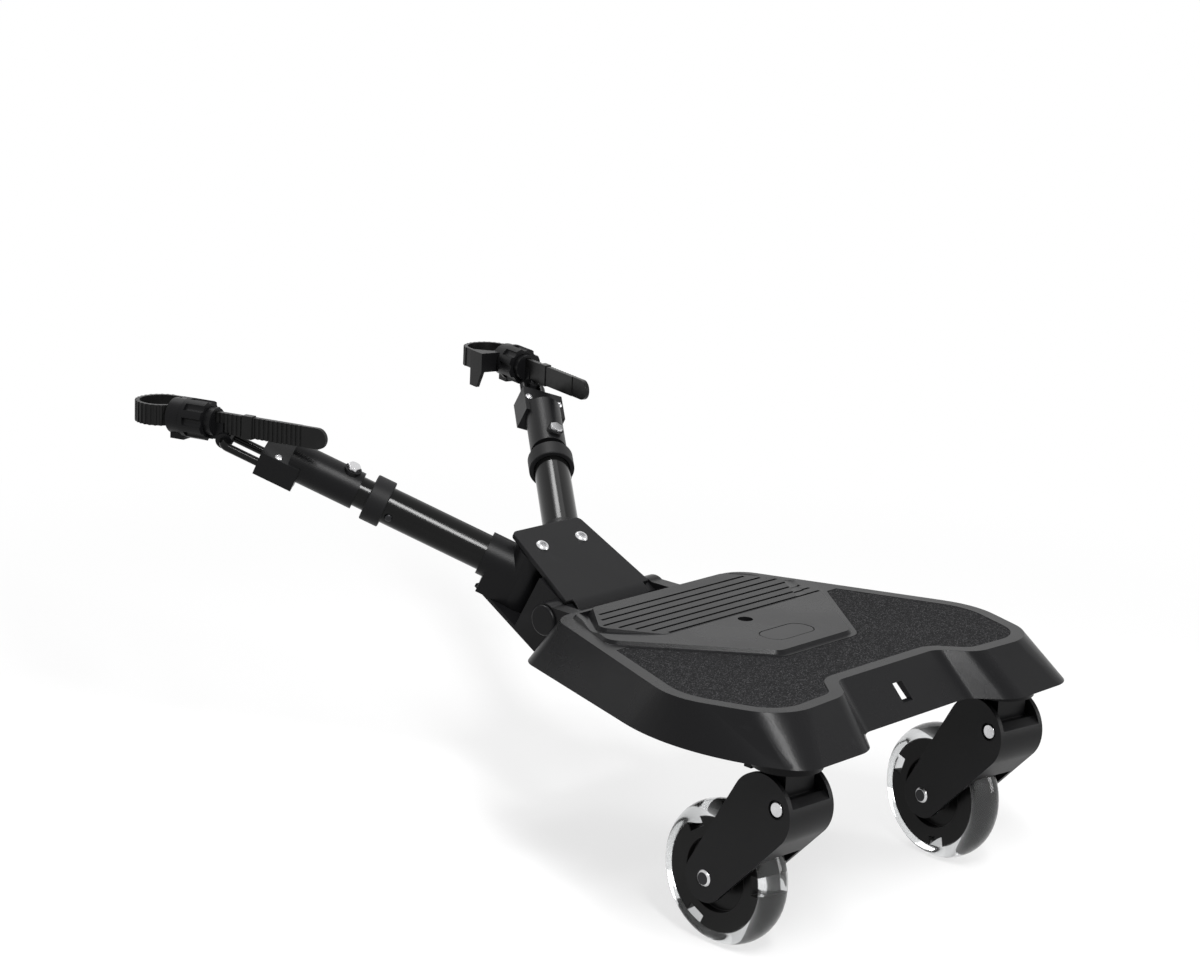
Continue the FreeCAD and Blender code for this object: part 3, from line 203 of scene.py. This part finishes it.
# %% [markdown]
# ## Moulded plastics
# The deck is one large moulding with a spark-eroded grain. Its own colour is nearly black, but seen
# along its surface the grain throws back the white room, so the top looks grey and the skirt looks
# black. That is plain gloss at work, so one dark finish does both. The other mouldings are alike but
# smoother. All take a fine bump, a cloudy change in roughness, and pale scuffs where feet and hands
# rub. Sizes of grain and depths of bump are in metres.

# %% Grained and satin plastic
def moulded(name, colour, roughness, grain_size, grain_depth, scuff, specular):
    finish = Finish(name)
    grain = finish.noise(1 / grain_size, 2.0)
    clouds = finish.noise(18.0, 4.0)
    scratches = finish.band(finish.noise(60.0, 6.0, (1, 0.25, 1)), 0.60, 0.80) * scuff
    shade = finish.mix(clouds * 0.4, colour, scaled(colour, 0.7))
    finish.set(Base_Color=finish.mix(scratches, shade, scaled(colour, 2.4)))
    finish.set(Roughness=(clouds - 0.5) * 0.16 + scratches * 0.1 + roughness)
    finish.set(Normal=finish.bump(grain, grain_depth), Specular_IOR_Level=specular)
    return finish.material


deck_plastic = moulded("deck_grained_plastic", (0.006, 0.006, 0.0065), 0.28, 0.0007, 0.00005, 0.5, 0.10)
cover_plastic = moulded("cover_plastic", (0.009, 0.009, 0.0095), 0.48, 0.0006, 0.00005, 0.3, 0.11)
black_plastic = moulded("satin_black_plastic", (0.0055, 0.0055, 0.006), 0.36, 0.0005, 0.00003, 0.3, 0.11)
fork_plastic = moulded("fork_plastic", (0.006, 0.006, 0.0065), 0.42, 0.0006, 0.00005, 0.3, 0.13)
cap_plastic = moulded("cap_plastic", (0.010, 0.010, 0.0105), 0.34, 0.0009, 0.00002, 0.2, 0.12)
nylon = moulded("natural_nylon", (0.66, 0.64, 0.58), 0.45, 0.0008, 0.00002, 0.0, 0.4)

# %% [markdown]
# ## Grip tape
# Grip tape is sandpaper for feet: sharp black grains in resin. Voronoi cells make the grains, each
# with its own random value. A few grains are painted lighter, a painted glint that stands for a facet
# turned to the light, and faint lumps add random tone.

# %% Abrasive sheet
GRAINS_PER_METRE = 1500.0
RESIN = (0.005, 0.005, 0.0055)
# Colour of the painted glint: lighter than the resin, where a grain's facet would catch the light.
PAINTED_GLINT_COLOUR = (0.036, 0.036, 0.038)


def abrasive():
    finish = Finish("abrasive_sheet")
    grains = finish.cells(GRAINS_PER_METRE)
    random_value = finish.cells(GRAINS_PER_METRE, "Color")
    glint_pick = finish.node("ShaderNodeSeparateColor", {}, {"Color": random_value}, out="Red")
    lumps = finish.noise(420.0, 5.0)
    # Painted glint: the grains picked here get the lighter colour, and a smoother skin.
    painted_glint_mask = finish.band(glint_pick, 0.70, 0.97)
    finish.set(Base_Color=finish.mix(painted_glint_mask * 0.75 + lumps * 0.12, RESIN, PAINTED_GLINT_COLOUR))
    finish.set(Roughness=0.85 - painted_glint_mask * 0.4, Normal=finish.bump((1 - grains) + lumps, 0.0005))
    finish.set(Specular_IOR_Level=0.07)
    return finish.material


grip = abrasive()

# %% [markdown]
# ## Painted tubes and bright metal
# The tubes are gloss black paint: almost no colour of their own, and a smooth skin that mirrors the
# lamps as one long stripe. Bolts, rivets and pins are zinc-plated steel with faint turning marks.

# %% Gloss paint and zinc steel
def gloss_paint(name, colour, roughness, specular):
    finish = Finish(name)
    peel = finish.noise(700.0, 2.0)
    smears = finish.noise(30.0, 5.0, (1, 1, 0.4))
    finish.set(Base_Color=finish.mix(smears, colour, scaled(colour, 1.5)))
    finish.set(Roughness=(smears - 0.5) * 0.10 + roughness, Normal=finish.bump(peel, 0.00002))
    finish.set(Specular_IOR_Level=specular)
    return finish.material


def plated(name, colour, roughness):
    finish = Finish(name)
    marks = finish.noise(2600.0, 2.0)
    stain = finish.noise(160.0, 4.0)
    finish.set(Base_Color=finish.mix(stain, colour, scaled(colour, 0.72)))
    finish.set(Roughness=(stain - 0.5) * 0.2 + roughness, Normal=finish.bump(marks, 0.00001), Metallic=1.0)
    return finish.material


tube_paint = gloss_paint("gloss_black_paint", (0.003, 0.003, 0.003), 0.15, 0.14)
core_plastic = gloss_paint("gloss_black_core", (0.005, 0.005, 0.005), 0.30, 0.12)
zinc = plated("zinc_steel", (0.66, 0.66, 0.67), 0.28)
# Blackened steel for the snap buttons. The same dark finish colours the discs of painted shade on the rivet
# ends.
dark_steel_and_shade = plated("blackened_steel", (0.035, 0.035, 0.037), 0.35)

# %% [markdown]
# ## Clear tyre and rubber
# The tyre is cast in clear urethane, so the black core shows through it and its rim glows white.
# Glass-like transmission does that, with a few faint flow marks. Straps and buffers are rubber.

# %% Clear urethane and rubber
def clear_cast():
    finish = Finish("clear_urethane")
    flow = finish.noise(45.0, 3.0)
    finish.set(Base_Color=finish.mix(flow, (0.74, 0.75, 0.75), (0.66, 0.67, 0.68)))
    finish.set(Roughness=flow * 0.08 + 0.05, Normal=finish.bump(flow, 0.0001))
    finish.set(Transmission_Weight=0.97, IOR=1.36)
    return finish.material


def rubber(name, colour, roughness, specular):
    finish = Finish(name)
    pores = finish.noise(1500.0, 3.0)
    bloom = finish.band(finish.noise(55.0, 5.0), 0.45, 0.75)
    finish.set(Base_Color=finish.mix(bloom * 0.5, colour, scaled(colour, 2.2)))
    finish.set(Roughness=bloom * 0.15 + roughness, Normal=finish.bump(pores, 0.00003))
    finish.set(Specular_IOR_Level=specular)
    return finish.material


clear_tyre = clear_cast()
strap_rubber = rubber("strap_rubber", (0.005, 0.005, 0.005), 0.32, 0.16)
buffer_rubber = rubber("buffer_rubber", (0.014, 0.014, 0.014), 0.6, 0.3)

# %% [markdown]
# ## Which part has which finish
# Most parts come in a left and a right, so their finishes are listed once, by the name they share.

# %% Finish for every node
PLAIN = {
    "deck_board": deck_plastic, "grip_tape": grip, "blanking_cap": cap_plastic, "caster_bushes": nylon,
    "hinge_pin": zinc, "hinge_caps": black_plastic, "block_housing": black_plastic,
    "block_cover": cover_plastic, "arm_bolts": zinc,
}
PAIRED = {
    "swivel_head": black_plastic, "swivel_stem": zinc, "swing_fork": fork_plastic, "fork_bolt": zinc,
    "buffer": buffer_rubber, "axle": zinc, "wheel_core": core_plastic, "tyre": clear_tyre, "bearings": zinc,
    "arm_socket": black_plastic, "outer_tube": tube_paint, "tube_collar": cover_plastic,
    "inner_tube": tube_paint, "snap_button": dark_steel_and_shade, "connector": black_plastic,
    "clamp_plate": black_plastic, "cross_bolt": zinc, "clamp_screws": zinc, "bail": tube_paint,
    "cradle": black_plastic, "strap": strap_rubber, "strap_knob": black_plastic,
}
finish_of = dict(PLAIN)
for part, material in PAIRED.items():
    for side in SIDES:
        finish_of[part + "_" + side] = material
for name, material in finish_of.items():
    frame["nodes"][name].data.materials.clear()
    frame["nodes"][name].data.materials.append(material)
print("finishes:", len(set(finish_of.values())))

# %% [markdown]
# ## Soft edges
# A real moulding has no knife edges: every corner is rounded by half a millimetre or more, and that
# round catches a thin line of light. Each solid is copied, its triangles are merged and dissolved
# back into whole faces, and a Bevel modifier rounds what is left. The copy then stands for the solid.
# The deck's top edge behind y = -100 mm has a much larger round, so that edge is picked out first: it
# is where a flat top face meets the sloping skirt.

# %% Rounded copies of the solids
FLAT_ANGLE = math.radians(1.0)
SMOOTH_ANGLE = math.radians(35)
SHARP_ANGLE = math.radians(32)
ROUND_SEGMENTS = 2
MERGE_WITHIN = 0.02


def select(piece):
    deselect()
    piece.select_set(True)
    bpy.context.view_layer.objects.active = piece


def edit(piece):
    select(piece)
    bpy.ops.object.mode_set(mode="EDIT")


def leave_edit():
    bpy.ops.object.mode_set(mode="OBJECT")


def rounded(piece, width):
    """Bevel every sharp edge, and shade the rest smooth."""
    select(piece)
    rounding = piece.modifiers.new("rounding", "BEVEL")
    rounding.width = width * MM
    rounding.segments = ROUND_SEGMENTS
    rounding.limit_method = "ANGLE"
    rounding.angle_limit = SHARP_ANGLE
    bpy.ops.object.modifier_apply(modifier=rounding.name)
    bpy.ops.object.shade_smooth_by_angle(angle=SMOOTH_ANGLE)
    evening = piece.modifiers.new("evening", "WEIGHTED_NORMAL")
    evening.keep_sharp = True
    bpy.ops.object.modifier_apply(modifier=evening.name)


def stand_in(node):
    """A merged copy of a solid, named after it, which rides on its body in its place while the solid is
    hidden.
    """
    piece = bpy.data.objects.new(node + "_soft", frame["nodes"][node].data.copy())
    bpy.context.scene.collection.objects.link(piece)
    edit(piece)
    bpy.ops.mesh.select_all(action="SELECT")
    bpy.ops.mesh.remove_doubles(threshold=MERGE_WITHIN * MM)
    bpy.ops.mesh.dissolve_limited(angle_limit=FLAT_ANGLE)
    bpy.ops.mesh.select_all(action="DESELECT")
    leave_edit()
    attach(piece, BODY_OF[node])
    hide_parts(node)
    return piece


DECK_EDGE_ROUND, DECK_EDGE_SEGMENTS = 2.4, 4
DECK_CORNER_ROUND = 0.7
DECK_TOP, LEVEL_WITHIN = 180.0, 0.05
ROUND_BEHIND = -100.0
SKIRT_SLOPE_FROM, SKIRT_SLOPE_TO, FLAT_SLOPE = 0.1, 0.85, 0.98


def skirt_edges(mesh):
    """Edges at the deck's level and behind y = -100 mm, between a flat face and a sloping one."""
    lean = {}
    for face in mesh.polygons:
        for key in face.edge_keys:
            lean.setdefault(key, []).append(face.normal.z)
    chosen = []
    for edge in mesh.edges:
        ends = [mesh.vertices[index].co for index in edge.vertices]
        level = all(abs(end.z - DECK_TOP * MM) < LEVEL_WITHIN * MM for end in ends)
        behind = all(end.y < ROUND_BEHIND * MM for end in ends)
        slopes = sorted(lean.get(edge.key, []))
        if not (level and behind and len(slopes) == 2):
            continue
        if SKIRT_SLOPE_FROM < slopes[0] < SKIRT_SLOPE_TO and slopes[1] > FLAT_SLOPE:
            chosen.append(edge)
    return chosen


deck_piece = stand_in("deck_board")
rim_edges = skirt_edges(deck_piece.data)
for edge in rim_edges:
    edge.select = True
edit(deck_piece)
bpy.ops.mesh.select_mode(type="EDGE")
bpy.ops.mesh.bevel(offset=DECK_EDGE_ROUND * MM, segments=DECK_EDGE_SEGMENTS, affect="EDGES",
                   clamp_overlap=True)
leave_edit()
rounded(deck_piece, DECK_CORNER_ROUND)
print("deck edges rounded:", len(rim_edges))

ROUNDED = {
    "blanking_cap": 0.5, "hinge_caps": 0.6, "block_housing": 1.2, "block_cover": 0.8, "arm_bolts": 0.6,
}
ROUNDED_PAIRS = {
    "swivel_head": 0.8, "swing_fork": 0.9, "wheel_core": 0.6, "arm_socket": 1.0, "tube_collar": 0.9,
    "connector": 1.0, "clamp_plate": 2.0, "cradle": 0.7, "strap": 0.3, "strap_knob": 0.6,
    "snap_button": 0.3, "buffer": 0.6, "axle": 0.3, "fork_bolt": 0.9, "clamp_screws": 0.4,
}
soft = {}
for node, width in ROUNDED.items():
    soft[node] = stand_in(node)
    rounded(soft[node], width)
for part, width in ROUNDED_PAIRS.items():
    for side in SIDES:
        soft[part + "_" + side] = stand_in(part + "_" + side)
        rounded(soft[part + "_" + side], width)
print("rounded copies:", len(soft) + 1)

# %% [markdown]
# ## Frames of the moving parts
# Small parts are easiest to place in the axes of what carries them. Every joint already says where
# it is and which way it points, so the block's, the arm's, the strap's and the wheel's own axes follow.

# %% Axes from the joints
def joint_line(name):
    row = JOINTS[name]
    return Vector(row.get("pos_m", (0, 0, 0))), Vector(row["axis"]).normalized()


def block_axes():
    spot = joint_line("block_pitch")[0]
    z = joint_line("arm_yaw_left")[1]
    x = Vector((1, 0, 0))
    return axes_at(spot, x, z.cross(x), z)


def arm_axes(side):
    spot, turn = joint_line("arm_yaw_" + side)
    y = joint_line("arm_extend_" + side)[1]
    z = turn * -SIDES[side]
    return axes_at(spot, y.cross(z), y, z)


KNOB_HALF = 10.0
QUARTER_TURN = Matrix.Rotation(math.radians(90), 4, "Y")


def strap_axes(side):
    spot, y = joint_line("knob_turn_" + side)
    z = Vector((0, 0, 1))
    return axes_at(spot + y * KNOB_HALF * MM, y.cross(z), y, z)


def wheel_axes(side):
    """Axes at the wheel's centre, with z along the axle."""
    spot, spin = joint_line("wheel_spin_" + side)
    up = Vector((0, 0, 1))
    return axes_at(spot, spin, up.cross(spin), up) @ QUARTER_TURN


# %% [markdown]
# ## Small parts
# Bolts get a hexagonal socket, screws a cross, and the cross bolt a nut: those are cut or added here
# because they are too fine to matter when the board moves. Each maker below builds one shape upright
# at the origin, and `put` carries it to its place and hands it to the body that moves it.

# %% Makers
def put(piece, name, place, body, material):
    """Carry a finished shape to its place, and let it ride on a body."""
    select(piece)
    piece.name = name
    piece.matrix_world = place
    bpy.ops.object.transform_apply(location=True, rotation=True, scale=True)
    piece.data.materials.clear()
    piece.data.materials.append(material)
    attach(piece, body)


def upright(sides, radius, low, high):
    """A prism of that many sides along z."""
    deselect()
    bpy.ops.mesh.primitive_cylinder_add(vertices=sides, radius=radius * MM, depth=(high - low) * MM,
                                        location=(0, 0, (low + high) / 2 * MM))
    piece = bpy.context.object
    bpy.ops.object.transform_apply(location=True, rotation=True, scale=True)
    return piece


def slab(low, high):
    """A box between two corners."""
    deselect()
    middle = [(first + second) / 2 * MM for first, second in zip(low, high)]
    bpy.ops.mesh.primitive_cube_add(size=1, location=middle)
    piece = bpy.context.object
    piece.scale = [(second - first) * MM for first, second in zip(low, high)]
    bpy.ops.object.transform_apply(location=True, rotation=True, scale=True)
    return piece


def joined(pieces):
    deselect()
    for piece in pieces:
        piece.select_set(True)
    bpy.context.view_layer.objects.active = pieces[0]
    bpy.ops.object.join()
    return bpy.context.object


def carve(piece, tool):
    """Cut a tool's shape out of a piece, and throw the tool away."""
    select(piece)
    cutting = piece.modifiers.new("cutting", "BOOLEAN")
    cutting.object = tool
    cutting.solver = "EXACT"
    bpy.ops.object.modifier_apply(modifier=cutting.name)
    bpy.ops.object.shade_smooth_by_angle(angle=SMOOTH_ANGLE)
    select(tool)
    bpy.ops.object.delete()


def at(place, x, y, z):
    return place @ Matrix.Translation(Vector((x, y, z)) * MM)


def moved(piece, place):
    select(piece)
    piece.matrix_world = place
    bpy.ops.object.transform_apply(location=True, rotation=True, scale=True)
    return piece


# %% Bolt sockets and screw crosses
BLOCK = block_axes()
ARM_BOLT_X, ARM_BOLT_Y, ARM_BOLT_TOP = 21.0, 56.0, 17.0
SOCKET_R, SOCKET_DEPTH = 2.7, 1.5
HEXAGON = 6
CUT_ABOVE = 1.0
sockets = []
for hand in SIDES.values():
    socket = upright(HEXAGON, SOCKET_R, -SOCKET_DEPTH, CUT_ABOVE)
    sockets.append(moved(socket, at(BLOCK, hand * ARM_BOLT_X, ARM_BOLT_Y, ARM_BOLT_TOP)))
carve(soft["arm_bolts"], joined(sockets))

SCREW_X, SCREW_Y, SCREW_TOP = 13.2, 204.0, 6.6
CROSS_HALF, CROSS_WIDTH, CROSS_DEPTH = 2.1, 0.55, 1.0
for side in SIDES:
    arm = arm_axes(side)
    for hand in (-1, 1):
        spot = at(arm, hand * SCREW_X, SCREW_Y, SCREW_TOP)
        for x, y in ((CROSS_HALF, CROSS_WIDTH), (CROSS_WIDTH, CROSS_HALF)):
            slit = moved(slab((-x, -y, -CROSS_DEPTH), (x, y, CUT_ABOVE)), spot)
            carve(soft["clamp_screws_" + side], slit)
print("sockets and crosses cut")

# %% Hexagon nut on each cross bolt
CROSS_BOLT_Y, NUT_LOW, NUT_HIGH, NUT_R, NUT_ROUND = 151.0, 16.5, 19.4, 5.4, 0.5
for side in SIDES:
    nut = upright(HEXAGON, NUT_R, NUT_LOW, NUT_HIGH)
    rounded(nut, NUT_ROUND)
    place = at(arm_axes(side), 0, CROSS_BOLT_Y, 0)
    put(nut, "cross_nut_" + side, place, "extension_" + side, zinc)
print("nuts added")

# %% [markdown]
# ## Tyres
# The clear tyre is cast around the core, so that no air lies between them. A stretched torus that
# sinks into the core's rim gives the same look: black where the core is near, white at the edge.

# %% Clear rings
TYRE_MID_R, TYRE_DEEP, TYRE_HALF = 42.75, 7.2, 12.4
RING_STEPS, TUBE_STEPS = 128, 40
for side in SIDES:
    deselect()
    bpy.ops.mesh.primitive_torus_add(major_segments=RING_STEPS, minor_segments=TUBE_STEPS,
                                     major_radius=TYRE_MID_R * MM, minor_radius=TYRE_DEEP * MM)
    ring = bpy.context.object
    ring.scale = (1, 1, TYRE_HALF / TYRE_DEEP)
    bpy.ops.object.transform_apply(location=True, rotation=True, scale=True)
    bpy.ops.object.shade_smooth()
    put(ring, "tyre_ring_" + side, wheel_axes(side), "wheel_" + side, clear_tyre)
    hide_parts("tyre_" + side)
print("tyres added")

# %% [markdown]
# ## Springs and rivets
# The fork's bridge presses the rubber buffer up against the head, so the buffer gets shorter as the
# fork swings. The axle is a hollow rivet: a thin bright ring around a hole. The shade in that hole is
# painted: a thin dark disc lies on each end of the axle.

# %% Each rubber buffer gets a mesh of its own
for side in SIDES:
    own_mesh(soft["buffer_" + side])

# %% Painted shade on the rivet ends
# Painted shade: a thin dark disc on each end of the axle stands for the shade inside the rivet's hole.
SHADE_DISC_R, SHADE_DISC_X, SHADE_DISC_THICK, SHADE_DISC_SIDES = 4.4, 22.78, 0.1, 32
for side in SIDES:
    lows = (SHADE_DISC_X, -SHADE_DISC_X - SHADE_DISC_THICK)
    shade_discs = joined([upright(SHADE_DISC_SIDES, SHADE_DISC_R, low, low + SHADE_DISC_THICK) for low in lows])
    put(shade_discs, "rivet_mouth_" + side, wheel_axes(side), BODY_OF["axle_" + side], dark_steel_and_shade)
print("painted shade discs added")

# %% [markdown]
# ## Strap trim
# The ribs of the strap show on its outer side only. Its inner side is a smooth band, and a small
# keeper holds the tail down where it leaves the cradle.

# %% Smooth inner band and keeper
STRAP_OUTER = 2.25
STRAP_HALF = 8.0
BAND_THICK, BAND_FROM, BAND_TO, BAND_OVER, BAND_ROUND = 0.95, -27.5, -100.5, 0.05, 0.25
KEEPER_Y, KEEPER_LONG, KEEPER_GAP, KEEPER_THICK, KEEPER_ROUND = -54.0, 9.0, 0.1, 1.0, 0.4
for side, hand in SIDES.items():
    strap = strap_axes(side)
    inner = -hand * STRAP_OUTER
    low_x, high_x = sorted((inner, inner + hand * BAND_THICK))
    band_z = STRAP_HALF + BAND_OVER
    band = slab((low_x - BAND_OVER, BAND_TO, -band_z), (high_x, BAND_FROM, band_z))
    rounded(band, BAND_ROUND)
    put(band, "strap_band_" + side, strap, "clamp_" + side, strap_rubber)
    reach_x = STRAP_OUTER + KEEPER_GAP
    reach_z = STRAP_HALF + KEEPER_GAP
    rear, front = KEEPER_Y - KEEPER_LONG / 2, KEEPER_Y + KEEPER_LONG / 2
    keeper = slab((-reach_x, rear, -reach_z), (reach_x, front, reach_z))
    for face in keeper.data.polygons:
        face.select = abs(face.normal.y) > 0.9
    bpy.context.tool_settings.mesh_select_mode = (False, False, True)
    edit(keeper)
    bpy.ops.mesh.delete(type="FACE")
    leave_edit()
    wall = keeper.modifiers.new("wall", "SOLIDIFY")
    wall.thickness = KEEPER_THICK * MM
    wall.offset = 1.0
    bpy.ops.object.modifier_apply(modifier=wall.name)
    rounded(keeper, KEEPER_ROUND)
    put(keeper, "strap_keeper_" + side, strap, "clamp_" + side, strap_rubber)
print("strap trim added")

# %% [markdown]
# ## Under the deck
# A moulded deck is a thin shell, so it is stiffened below by crossed ribs. Nobody sees them from
# above, but anyone who picks the board up does.

# %% Crossed ribs
RIB_LOW, RIB_HIGH, RIB_HALF = 163.0, 178.0, 1.1
RIBS_ALONG = (-66.0, -22.0, 22.0, 66.0)
RIBS_ACROSS = ((-230.0, 120.0), (-186.0, 110.0), (-96.0, 75.0))
RIB_REAR, RIB_FRONT = -248.0, -75.0
ribs = [slab((x - RIB_HALF, RIB_REAR, RIB_LOW), (x + RIB_HALF, RIB_FRONT, RIB_HIGH)) for x in RIBS_ALONG]
ribs += [slab((-reach, y - RIB_HALF, RIB_LOW), (reach, y + RIB_HALF, RIB_HIGH)) for y, reach in RIBS_ACROSS]
put(joined(ribs), "deck_ribs", Matrix.Identity(4), "deck", deck_plastic)
print("ribs added")

# %% [markdown]
# ## Light and floor
# Black things are photographed by what they reflect. The room is white, so flat faces seen edge-on
# turn grey. One tall lamp beside the camera draws the stripe down the left tube and the round corner
# of the skirt, and a wide lamp overhead in front does the same for the right tube. A third, low on the
# right, brings out the rear webs of the forks. A weak sun gives a gentle shadow. The camera sees the
# floor nearly as white as the room.

# %% Lamps, world and floor
def lamp(place, target, width, height, power):
    deselect()
    bpy.ops.object.light_add(type="AREA", location=place)
    light = bpy.context.object
    light.data.shape = "RECTANGLE"
    light.data.size = width
    light.data.size_y = height
    light.data.energy = power
    light.rotation_euler = (Vector(target) - Vector(place)).to_track_quat("-Z", "Y").to_euler()


lamp((-0.55, -0.85, 1.25), target=(-0.05, -0.1, 0.16), width=0.2, height=0.8, power=28)
lamp((0.30, 0.75, 1.45), target=(0, 0.05, 0.2), width=0.4, height=0.2, power=5)
lamp((1.0, -1.3, 0.5), target=(0, -0.25, 0.05), width=0.4, height=0.9, power=7)

SUN_TURN = (math.radians(-24), math.radians(18), 0)
SUN_POWER, SUN_SPREAD = 0.6, math.radians(40)
deselect()
bpy.ops.object.light_add(type="SUN", rotation=SUN_TURN)
bpy.context.object.data.energy = SUN_POWER
bpy.context.object.data.angle = SUN_SPREAD

SKY_FILL = 0.35


def seen_directly(tree):
    """1 for rays from the camera, a reflection or a clear part, and 0 for stray light."""
    paths = tree.nodes.new("ShaderNodeLightPath")
    seen = paths.outputs["Is Camera Ray"]
    for ray in ("Is Glossy Ray", "Is Transmission Ray"):
        either = tree.nodes.new("ShaderNodeMath")
        either.operation = "MAXIMUM"
        tree.links.new(seen, either.inputs[0])
        tree.links.new(paths.outputs[ray], either.inputs[1])
        seen = either.outputs[0]
    return seen


world = bpy.data.worlds.new("studio")
world.use_nodes = True
bpy.context.scene.world = world
sky = world.node_tree
strength = sky.nodes.new("ShaderNodeMapRange")
strength.inputs["To Min"].default_value = SKY_FILL
strength.inputs["To Max"].default_value = 1.0
sky.links.new(seen_directly(sky), strength.inputs["Value"])
background = sky.nodes["Background"]
background.inputs["Color"].default_value = (1, 1, 1, 1)
sky.links.new(strength.outputs["Result"], background.inputs["Strength"])

FLOOR_SIZE = 60
FLOOR_GLOW = 0.72
GLOW_RISES_FROM, GLOW_FULL_AT = 0.45, 1.1
FLOOR_STRAY, FLOOR_SEEN = (0.25, 0.25, 0.25), (0.85, 0.85, 0.85)
deselect()
bpy.ops.mesh.primitive_plane_add(size=FLOOR_SIZE)
floor = bpy.context.object
floor.name = "floor"
floor_finish = Finish("white_floor")
direct = Wire(floor_finish, seen_directly(floor_finish.tree))
floor_finish.set(Base_Color=floor_finish.mix(direct, FLOOR_STRAY, FLOOR_SEEN))
floor_finish.set(Roughness=0.9, Specular_IOR_Level=0.0)
glow = floor_finish.node("ShaderNodeEmission", {}, {"Color": (1, 1, 1, 1), "Strength": 1.0})
spot = floor_finish.node("ShaderNodeTexCoord", {}, {}, out="Object")
away = floor_finish.node("ShaderNodeVectorMath", {"operation": "LENGTH"}, {0: spot}, out="Value")
share = floor_finish.band(away, GLOW_RISES_FROM, GLOW_FULL_AT) * (1 - FLOOR_GLOW) + FLOOR_GLOW
share = share * direct
lit = Wire(floor_finish, floor_finish.surface.outputs[0])
blend = floor_finish.node("ShaderNodeMixShader", {}, {0: share, 1: lit, 2: glow})
floor_finish.tree.links.new(blend.socket, floor_finish.tree.nodes["Material Output"].inputs["Surface"])
floor.data.materials.append(floor_finish.material)
